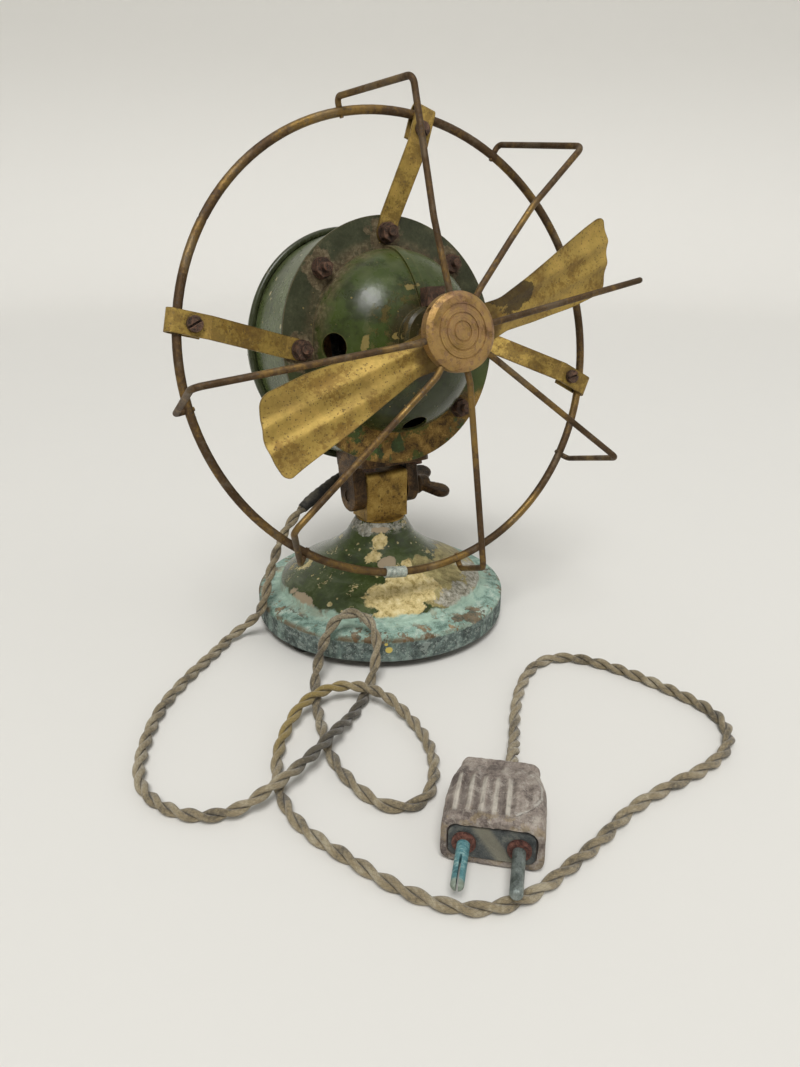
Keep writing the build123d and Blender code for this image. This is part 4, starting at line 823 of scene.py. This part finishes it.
def weathered_moulding(n):
    """Plug body: grey-brown moulding with white bloom along its flutes and a pale crack."""
    c = colours()
    p = n.plug_mm()
    along, across, up = n.split(p)
    tone = n.use("Tarnish", p, 0.12, "5a4f49", c.moulding, "a99e93")
    lengthwise = n.noise(n.mapped(p, scale=(0.06, 0.6, 0.6)), 1, 4, 0.65)
    bloom = n.times(n.step(lengthwise, 0.48, 0.72), n.step(up, 2, 8))
    crest = n.math("COSINE", n.times(across, math.tau / (RIDGE_PITCH * 1000)))
    ridges = n.times(
        n.step(along, -RIDGE_BACK * 1000, -RIDGE_BACK * 1000 + 4), n.step(along, -3, -6),
        n.step(across, -19, -17), n.step(across, 8, 5), n.step(up, 3, 6),
    )
    crests = n.times(ridges, n.step(crest, 0.1, 0.9), n.blend(n.step(lengthwise, 0.35, 0.6), 0.5, 1))
    valleys = n.times(ridges, n.step(crest, -0.1, -0.8))
    crumbs = n.use("Blotches", p, 0.25, 0.6, 0.7)
    arc = n.hypot(n.plus(along, 20), n.plus(across, 1))
    arc = n.plus(arc, n.times(n.noise(p, 0.3, 3), 2))
    crack = n.times(n.step(n.math("ABSOLUTE", n.less(arc, 18)), 0.65, 0.3), n.step(across, 4, 8))
    yellow = n.times(n.step(along, -9, -2), n.use("Blotches", p, 0.2, 0.58, 0.5))
    edges = n.use("Edges", p, 0.001)
    colour = layered(
        n, tone,
        (bloom, 0.45, "bdb4a9"),
        (crests, 0.7, "d6d0c2"),
        (valleys, 0.5, "5d534d"),
        (crumbs, 0.3, "cbc4b9"),
        (yellow, 0.35, "9a8558"),
        (n.times(crack, n.step(n.noise(p, 0.35, 3), 0.42, 0.58), 0.6), "c3bfb6"),
        (edges, 0.3, "a59b92"),
    )
    # dirt and painted shade: darker in corners and joints that ambient occlusion finds closed in
    dirt_and_shade = n.use("Crevices", p, 0.004)
    colour = n.mix(n.times(dirt_and_shade, 0.75), colour, "2d2621")
    pits = n.use("Specks", p, 0.35, 0.5)
    grain = n.noise(p, 1.2, 6, 0.7)
    height = n.less(grain, n.times(n.most(pits, crack), 0.7))
    return surface(colour, n.blend(bloom, 0.62, 0.82), height, 0.0007)


def plug_pin_metal(n):
    """Pins: the left one turquoise with corrosion, the right one dull grey."""
    p = n.plug_mm()
    along, across, _ = n.split(p)
    left = n.step(across, -2, 2)
    turquoise = n.use("Tarnish", n.mapped(p, scale=(1.8, 0.6, 1)), 0.45, "345f66", "55868b", "94b3b0")
    grey = n.use("Tarnish", p, 0.2, "4d5450", "727a76", "939b96")
    tip = n.step(along, 16.5, 18.2)
    turquoise = n.mix(n.times(tip, 0.7), turquoise, "8f907c")
    colour = n.mix(left, turquoise, grey)
    crust = n.times(n.noise(n.mapped(p, scale=(1.5, 0.5, 0.5)), 1, 4, 0.6), n.less(1, left))
    height = n.plus(n.times(crust, 1.5), n.times(n.noise(p, 1.8, 4, 0.7), 0.4))
    return surface(colour, n.blend(left, 0.62, 0.42), height, 0.0005, Metallic=n.times(left, 0.55))


def slate_face(n):
    """Plug face: dark slate board with a pale triangular stain."""
    p = n.plug_mm()
    _, across, up = n.split(p)
    tone = n.use("Tarnish", p, 0.2, "2d3132", "474b4a", "686a63")
    slanted = n.plus(across, n.times(up, 0.7))
    pale = n.times(n.step(slanted, -4, -1), n.step(slanted, 5, 2.5))
    colour = n.mix(n.times(pale, 0.55), tone, "918c78")
    # dirt and painted shade: darker in corners and joints that ambient occlusion finds closed in
    dirt_and_shade = n.use("Crevices", p, 0.003)
    colour = n.mix(n.times(dirt_and_shade, 0.7), colour, "211c18")
    return surface(colour, 0.55, n.noise(p, 1.5, 4), 0.0003)


FINISHES = {
    "base_enamel": enamel_base,
    "green_enamel": enamel_shell,
    "drum_enamel": enamel_drum,
    "sheet_brass": brass_of_straps,
    "wire_brass": aged_wire,
    "boss_copper": copper_boss,
    "solder": metal("7b8078", "a8aea4", "cfd2c6", 0.5, 0.5, 0.35, "77a096"),
    "patina_bronze": metal("2e241a", "4d3a26", "7a5c36", 0.10, 0.42, 0.75),
    "turned_brass": metal("6b5527", "98793a", "b3954e", 0.14, 0.45, 0.7, "46331b", 0.55),
    "dark_steel": metal("2c221b", "4e3c30", "7a5b48", 0.35, 0.62, 0.45, "7a4b35", 0.6, 0.0006),
    "rusty_collar": metal("3b211b", "6b4136", "8f6152", 0.5, 0.82, 0.1, "2a1713", 0.7, 0.0012),
    "cast_iron": metal("1d1b19", "2f2b27", "4a4038", 0.2, 0.75, 0.3),
    "bearing_bronze": metal("5a4226", "8a6a3a", "a98a55", 0.2, 0.4, 0.85),
    "lamination_steel": metal("2f3032", "4f5052", "75726c", 0.2, 0.5, 0.7),
    "commutator_copper": metal("5b3322", "96573a", "b9785a", 0.3, 0.35, 0.9),
    "foot_rubber": plain_stuff("161513", "24221f", "3a3733", 0.3, 0.82),
    "bushing_rubber": plain_stuff("171512", "262320", "3b3732", 0.3, 0.7),
    "winding_cotton": plain_stuff("4a3524", "745238", "96714f", 0.5, 0.8),
    "carbon": plain_stuff("141414", "222222", "343434", 0.5, 0.5),
    "fibre_board": plain_stuff("3a241a", "5a3a28", "7a543c", 0.2, 0.6),
    "plug_moulding": weathered_moulding,
    "plug_slate": slate_face,
    "pin_metal": plug_pin_metal,
}
OWN_FINISHES = {
    "propeller": ("blade_brass", brass_of_blades),
    "motor_drum": ("drum_green", enamel_drum),
    "rear_cover": ("cover_green", enamel_drum),
}


# ---------------- helpers for pieces
def deselect_all():
    for obj in bpy.context.selected_objects:
        obj.select_set(False)
    bpy.context.view_layer.objects.active = None


def coat(obj, material):
    obj.data.materials.clear()
    obj.data.materials.append(material)


def slot_of(node):
    return NODES[node].material_slots[0].material.name.split(".")[0]


def finish_nodes(nodes):
    """Gives CAD nodes the finish of their record slot, or their own."""
    for node in nodes:
        obj = NODES[node]
        name, recipe = OWN_FINISHES.get(node, (None, None))
        if name is None:
            name = "finish_" + obj["fan_slot"]
            recipe = FINISHES[obj["fan_slot"]]
        material = bpy.data.materials.get(name) or finish(name, recipe)
        obj.material_slots[0].material = material


def copy_of(node, name):
    """A copy of a CAD node's mesh with its doubled points merged, ready for modifiers."""
    source = NODES[node]
    copied = bpy.data.objects.new(name, source.data.copy())
    bpy.context.collection.objects.link(copied)
    copied.data.transform(source.matrix_world)
    bm = bmesh.new()
    bm.from_mesh(copied.data)
    bmesh.ops.remove_doubles(bm, verts=bm.verts, dist=0.00001)
    bm.to_mesh(copied.data)
    bm.free()
    coat(copied, source.material_slots[0].material)
    return copied


def apply_modifier(obj, kind, **settings):
    deselect_all()
    obj.select_set(True)
    bpy.context.view_layer.objects.active = obj
    modifier = obj.modifiers.new("shaping", kind)
    for key, value in settings.items():
        setattr(modifier, key, value)
    bpy.ops.object.modifier_apply(modifier=modifier.name)


def note_slots():
    """Keeps each node's record slot before its material is replaced."""
    for node, obj in NODES.items():
        obj["fan_slot"] = slot_of(node)


# ---------------- cord
def route_line(step):
    """Points along the route's NURBS spline, an even step apart."""
    curve = bpy.data.curves.new("cord_route", "CURVE")
    curve.dimensions = "3D"
    curve.resolution_u = 24
    spline = curve.splines.new("NURBS")
    spline.points.add(len(ROUTE) - 1)
    for point, place in zip(spline.points, ROUTE):
        point.co = (*place, 1.0)
    spline.order_u = 3
    spline.use_endpoint_u = True
    carrier = bpy.data.objects.new("cord_route", curve)
    bpy.context.collection.objects.link(carrier)
    mesh = bpy.data.meshes.new_from_object(carrier)
    read = [vertex.co.copy() for vertex in mesh.vertices]
    bpy.data.objects.remove(carrier)
    bpy.data.meshes.remove(mesh)
    bpy.data.curves.remove(curve)
    return evenly(read, step)


def evenly(points, step):
    """The same line with its points an even step apart."""
    lengths = [0.0]
    for before, here in zip(points, points[1:]):
        lengths.append(lengths[-1] + (here - before).length)
    count = max(2, round(lengths[-1] / step))
    spaced = []
    index = 0
    for number in range(count + 1):
        target = lengths[-1] * number / count
        while index < len(points) - 2 and lengths[index + 1] < target:
            index += 1
        span = lengths[index + 1] - lengths[index]
        share = (target - lengths[index]) / span if span else 0.0
        spaced.append(points[index].lerp(points[index + 1], share))
    return spaced


def carried_frames(line):
    """A side direction at each point, carried along the line without twisting."""
    tangents = []
    for number in range(len(line)):
        before = line[max(0, number - 1)]
        after = line[min(len(line) - 1, number + 1)]
        tangents.append((after - before).normalized())
    side = tangents[0].orthogonal().normalized()
    frames = []
    for number, tangent in enumerate(tangents):
        if number:
            side = tangents[number - 1].rotation_difference(tangent) @ side
        side = (side - tangent * side.dot(tangent)).normalized()
        frames.append((tangent, side, tangent.cross(side)))
    return frames


def strand_centres(line, phase, rng):
    """One strand's middle line, wound round the cord's, with a lay that varies a little."""
    frames = carried_frames(line)
    step = sum((b - a).length for a, b in zip(line, line[1:])) / (len(line) - 1)
    ranges = ((0.03, 0.09), (0, math.tau), (0.08, 0.2))  # of a wave's length, start and size
    waves = [[rng.uniform(*ends) for ends in ranges] for _ in range(4)]
    lift = sizes().cord_diameter / 2 - sizes().strand_radius
    angle = phase
    centres = []
    for number, (place, (_, side, up)) in enumerate(zip(line, frames)):
        run = number * step
        change = sum(size * math.sin(run / length + start) for length, start, size in waves)
        angle += math.tau * step / sizes().cord_lay * (1 + 0.9 * change)
        direction = side * math.cos(angle) + up * math.sin(angle)
        centres.append(place + direction * lift)
    return centres


def tube_mesh(bm, uv_layer, centres, radii, sides):
    """A round tube on a line of centres, closed at both ends, with its length along the UV map."""
    frames = carried_frames(centres)
    rings = []
    run = 0.0
    runs = []
    for number, (centre, (_, side, up)) in enumerate(zip(centres, frames)):
        if number:
            run += (centre - centres[number - 1]).length
        runs.append(run)
        ring = []
        for turn in range(sides):
            angle = math.tau * turn / sides
            outward = side * math.cos(angle) + up * math.sin(angle)
            ring.append(bm.verts.new(centre + outward * radii[number]))
        rings.append(ring)
    for number, (ring, further) in enumerate(zip(rings, rings[1:])):
        for turn in range(sides):
            after = (turn + 1) % sides
            face = bm.faces.new((ring[turn], ring[after], further[after], further[turn]))
            face.smooth = True
            turns = (turn / sides, (turn + 1) / sides, (turn + 1) / sides, turn / sides)
            for loop, across, along in zip(face.loops, turns, (number, number, number + 1, number + 1)):
                loop[uv_layer].uv = (across, runs[along])
    for ring, flip in ((rings[0], True), (rings[-1], False)):
        bm.faces.new(list(reversed(ring)) if flip else ring)


def object_of(bm, name):
    """An object with the mesh, its normals outward."""
    bmesh.ops.recalc_face_normals(bm, faces=bm.faces)
    mesh = bpy.data.meshes.new(name)
    bm.to_mesh(mesh)
    bm.free()
    obj = bpy.data.objects.new(name, mesh)
    bpy.context.collection.objects.link(obj)
    return obj


class FAN_OT_cord(bpy.types.Operator):
    """Twists the cloth-covered cord along its route, which runs into its plug"""

    bl_idname = "fan.cord"
    bl_label = "Twisted cord"

    def execute(self, context):
        line = route_line(CORD_STEP)
        bm = bmesh.new()
        uv_layer = bm.loops.layers.uv.new("Along")
        for phase, seed in ((0.0, 3), (math.pi, 3)):
            centres = strand_centres(line, phase, random.Random(seed))
            swell = random.Random(seed + phase)
            swells = (1 + swell.uniform(-STRAND_SWELL, STRAND_SWELL) for _ in centres)
            radii = [sizes().strand_radius * share for share in swells]
            tube_mesh(bm, uv_layer, centres, radii, STRAND_SIDES)
        cord = object_of(bm, "twisted_cord")
        coat(cord, finish("cord_cloth", braided_cloth))
        tape = self.tape(line)
        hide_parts("cord", "cord_lead")
        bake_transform(cord)
        carried = (NODES[name] for name in ("plug_face", "plug_pins", "pin_collars"))
        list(carried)
        return {"FINISHED"}

    def tape(self, line):
        """The black tape wound round the cord where it leaves the motor, thinner towards its end."""
        wound = line[TAPE_FIRST:TAPE_LAST]
        radii = []
        for number in range(len(wound)):
            share = number / (len(wound) - 1)
            lap = TAPE_LAP * math.sin(math.tau * number / TAPE_LAP_STEPS)
            end = min(1.0, 4 * share, 5 * (1 - share) + 0.3)
            radii.append(TAPE_INSIDE + (TAPE_THICK - TAPE_LOSS * share) * end + lap * end)
        bm = bmesh.new()
        tube_mesh(bm, bm.loops.layers.uv.new("Along"), wound, radii, TAPE_SIDES)
        tape = object_of(bm, "cord_tape")
        coat(tape, finish("black_tape", plain_stuff("100f0e", "1d1b18", "34302a", 0.4, 0.62)))
        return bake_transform(tape)


# ---------------- finishes by group
class FAN_OT_base(bpy.types.Operator):
    """Finishes the spun base, its plate, feet, stud and pivot block"""

    bl_idname = "fan.base"
    bl_label = "Base"

    def execute(self, context):
        finish_nodes((
            "base_shell", "base_plate", "rubber_feet", "foot_screws", "pillar_stud", "pillar_nut",
            "neck_ferrule", "pivot_block",
        ))
        return {"FINISHED"}


class FAN_OT_clevis(bpy.types.Operator):
    """Finishes the clevis under the motor, its screws, the wing screw and its washer"""

    bl_idname = "fan.clevis"
    bl_label = "Clevis and wing screw"

    def execute(self, context):
        finish_nodes(("saddle_bracket", "saddle_screws", "wing_washer", "wing_screw"))
        screw = copy_of("wing_screw", "cast_wing_screw")
        apply_modifier(screw, "REMESH", mode="VOXEL", voxel_size=CAST_GRAIN, use_smooth_shade=True)
        cast = screw.vertex_groups.new(name="cast")
        for vertex in screw.data.vertices:
            out = (vertex.co.x - CAST_FROM) / CAST_FADE
            cast.add([vertex.index], min(1.0, max(0.0, out)), "REPLACE")
        apply_modifier(screw, "DISPLACE", vertex_group="cast", mid_level=0.0, strength=CAST_SWELL)
        apply_modifier(screw, "SMOOTH", vertex_group="cast", factor=0.5, iterations=10)
        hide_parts("wing_screw")
        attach(screw, "wing_screw")
        return {"FINISHED"}


class FAN_OT_motor(bpy.types.Operator):
    """Finishes the motor's casing, its studs and nuts, oil cup and cord bushing"""

    bl_idname = "fan.motor"
    bl_label = "Motor casing"

    def execute(self, context):
        finish_nodes((
            "motor_drum", "front_shell", "rear_cover", "through_bolts", "stud_washers", "stud_nuts",
            "oil_cup", "cord_bushing", "front_bearing", "rear_bearing",
        ))
        return {"FINISHED"}


class FAN_OT_works(bpy.types.Operator):
    """Finishes the windings, armature, commutator and brushes inside the motor"""

    bl_idname = "fan.works"
    bl_label = "Motor works"

    def execute(self, context):
        finish_nodes((
            "field_core", "field_coils", "brush_yoke", "brush_holders", "brushes", "brush_springs",
            "terminal_block", "armature_core", "armature_windings", "commutator", "thrust_collars",
        ))
        return {"FINISHED"}


class FAN_OT_propeller(bpy.types.Operator):
    """Finishes the two-blade propeller, its hub, shaft, screw and rivets"""

    bl_idname = "fan.propeller"
    bl_label = "Propeller"

    def execute(self, context):
        finish_nodes(("propeller", "blade_hub", "shaft", "hub_screw", "propeller_rivets"))
        return {"FINISHED"}


class FAN_OT_guard(bpy.types.Operator):
    """Finishes the wire guard, its arms, clamps and boss"""

    bl_idname = "fan.guard"
    bl_label = "Wire guard"

    def execute(self, context):
        spokes = [name for name in NODES if name.startswith("guard_spoke")]
        finish_nodes((
            "guard_ring", "ring_ferrule", "guard_boss", "guard_arm_top", "guard_arm_left",
            "guard_arm_right", "clamp_screws", "clamp_nuts", *spokes,
        ))
        return {"FINISHED"}


class FAN_OT_plug(bpy.types.Operator):
    """Wears the plug's moulded body round and finishes it with its face, collars and pins"""

    bl_idname = "fan.plug"
    bl_label = "Plug"

    def execute(self, context):
        finish_nodes(("plug_body", "plug_face", "plug_pins", "pin_collars"))
        body = copy_of("plug_body", "worn_plug")
        apply_modifier(body, "REMESH", mode="VOXEL", voxel_size=PLUG_GRAIN, use_smooth_shade=True)
        apply_modifier(body, "SMOOTH", factor=0.5, iterations=4)
        lumps = bpy.data.textures.new("lumps", "CLOUDS")
        lumps.noise_scale = PLUG_LUMP_SIZE
        lumps.noise_depth = 3
        apply_modifier(
            body, "DISPLACE", texture=lumps, texture_coords="LOCAL", mid_level=1.0,
            strength=PLUG_LUMP_DEPTH,
        )
        bpy.data.textures.remove(lumps)
        self.shape(body)
        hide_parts("plug_body")
        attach(body, "base")
        return {"FINISHED"}

    def shape(self, body):
        """Rounds the body down to its back and sides, and raises the finger ridges on its top."""
        into_plug = Matrix.Rotation(-PLUG_TURN, 3, "Z")
        for vertex in body.data.vertices:
            along, across, _ = into_plug @ (vertex.co - PLUG_CENTRE)
            height = vertex.co.z
            back = min(1.0, max(0.0, (-along - PLUG_ROUND_FROM) / PLUG_ROUND_LENGTH)) ** 2
            side = min(1.0, abs(across) / PLUG_SIDE_REACH) ** 5
            lowered = height * (1 - PLUG_BACK_LOWER * back) * (1 - PLUG_SIDE_LOWER * side)
            ridged = -RIDGE_BACK < along < -RIDGE_FRONT and -RIDGE_LEFT < across < RIDGE_RIGHT
            if ridged and height > RIDGE_FROM:
                from_back = (along + RIDGE_BACK) / RIDGE_BACK_FADE
                ends = min(1.0, from_back, (-RIDGE_FRONT - along) / RIDGE_FRONT_FADE)
                wave = math.cos(math.tau * across / RIDGE_PITCH) - RIDGE_LEVEL
                lowered += RIDGE_DEPTH * ends * wave
            drawn = across * (1 - PLUG_BACK_NARROWER * back) - across
            sideways = into_plug.transposed() @ Vector((0.0, drawn, 0.0))
            vertex.co = Vector((vertex.co.x + sideways.x, vertex.co.y + sideways.y, lowered))


# ---------------- stage
def area_lamp(name, away, size, power, colour):
    lamp = bpy.data.lights.new(name, "AREA")
    lamp.shape = "SQUARE"
    lamp.size = size
    lamp.energy = power
    lamp.color = colour
    obj = bpy.data.objects.new(name, lamp)
    obj.location = STAGE_MIDDLE + away
    obj.rotation_euler = (-away).to_track_quat("-Z", "Y").to_euler()
    bpy.context.collection.objects.link(obj)


def floor_finish(n):
    p = n.object_mm()
    grain = n.noise(p, 0.02, 2.0)
    colour = n.mix(n.times(grain, 0.06), colours().floor, "cfcdc8")
    return surface(colour, 0.75)


class FAN_OT_stage(bpy.types.Operator):
    """Sets the pale floor with its backdrop, the studio light and the camera"""

    bl_idname = "fan.stage"
    bl_label = "Stage"

    def execute(self, context):
        self.floor(context)
        self.lights(context)
        self.camera(context)
        return {"FINISHED"}

    def floor(self, context):
        deselect_all()
        bpy.ops.mesh.primitive_grid_add(
            x_subdivisions=FLOOR_SQUARES, y_subdivisions=FLOOR_SQUARES, size=sizes().floor_width
        )
        floor = context.active_object
        floor.name = "floor"
        for vertex in floor.data.vertices:
            reach = math.hypot(vertex.co.x, vertex.co.y)
            beyond = reach - FLOOR_RADIUS
            if beyond > 0:
                turn = min(beyond / FLOOR_BEND, math.pi / 2)
                rise = max(0.0, beyond - FLOOR_BEND * math.pi / 2)
                drawn = (FLOOR_RADIUS + FLOOR_BEND * math.sin(turn)) / reach
                vertex.co.x *= drawn
                vertex.co.y *= drawn
                vertex.co.z = FLOOR_BEND * (1 - math.cos(turn)) + rise
        floor.visible_shadow = False
        bpy.ops.object.shade_smooth()
        coat(floor, finish("floor_pale", floor_finish))

    def lights(self, context):
        sun = bpy.data.lights.new("key", "SUN")
        sun.energy = KEY_POWER
        sun.angle = KEY_SPREAD
        key = bpy.data.objects.new("key", sun)
        key.rotation_euler = (-KEY_DIRECTION).to_track_quat("-Z", "Y").to_euler()
        context.collection.objects.link(key)
        area_lamp("window", *WINDOW)
        area_lamp("fill", *FILL)
        world = bpy.data.worlds.new("room")
        context.scene.world = world
        world.use_nodes = True
        world.node_tree.nodes.clear()
        n = Nodes(world.node_tree)
        rays = n.add("ShaderNodeLightPath").outputs
        seen = n.most(rays["Is Camera Ray"], rays["Is Glossy Ray"], rays["Is Transmission Ray"])
        strength = n.blend(seen, ROOM_LIGHT, ROOM_SEEN)
        background = n.add("ShaderNodeBackground", {"Color": "eef0f0", "Strength": strength})
        leave = n.add("ShaderNodeOutputWorld")
        n.put(leave.inputs["Surface"], background.outputs[0])

    def camera(self, context):
        ahead = Vector((-math.sin(EYE_TURN), math.cos(EYE_TURN), 0.0))
        forward = ahead * math.cos(EYE_DIP) - Vector((0.0, 0.0, math.sin(EYE_DIP)))
        right = Vector((math.cos(EYE_TURN), math.sin(EYE_TURN), 0.0))
        up = right.cross(forward)
        level = right * math.cos(EYE_ROLL) + up * math.sin(EYE_ROLL)
        upright = up * math.cos(EYE_ROLL) - right * math.sin(EYE_ROLL)
        data = bpy.data.cameras.new("camera")
        data.sensor_fit = "VERTICAL"
        data.sensor_height = 36.0
        data.lens = EYE_LENS
        data.clip_start = 0.01
        camera = bpy.data.objects.new("camera", data)
        axes = Matrix((level, upright, -forward)).transposed()
        camera.matrix_world = Matrix.Translation(EYE) @ axes.to_4x4()
        context.collection.objects.link(camera)
        context.scene.camera = camera
        context.scene.view_settings.view_transform = "Standard"


class FAN_PT_panel(bpy.types.Panel):
    bl_label = "Antique desk fan"
    bl_idname = "FAN_PT_panel"
    bl_space_type = "VIEW_3D"
    bl_region_type = "UI"
    bl_category = "Fan"

    def draw(self, context):
        for group in (context.scene.fan_sizes, context.scene.fan_colours):
            box = self.layout.box()
            for name in group.__annotations__:
                box.prop(group, name)
        for operator in OPERATORS:
            self.layout.operator(operator.bl_idname)


OPERATORS = (
    FAN_OT_plug, FAN_OT_cord, FAN_OT_base, FAN_OT_clevis, FAN_OT_motor, FAN_OT_works, FAN_OT_propeller,
    FAN_OT_guard, FAN_OT_stage,
)
CLASSES = (FanSizes, FanColours, *OPERATORS, FAN_PT_panel)


def register():
    for made in CLASSES:
        bpy.utils.register_class(made)
    bpy.types.Scene.fan_sizes = bpy.props.PointerProperty(type=FanSizes)
    bpy.types.Scene.fan_colours = bpy.props.PointerProperty(type=FanColours)


def unregister():
    del bpy.types.Scene.fan_colours
    del bpy.types.Scene.fan_sizes
    for made in reversed(CLASSES):
        bpy.utils.unregister_class(made)


def main():
    register()
    make_shared_effects()
    note_slots()
    for operator in OPERATORS:
        group, name = operator.bl_idname.split(".")
        getattr(getattr(bpy.ops, group), name)()


if __name__ == "__main__":
    main()
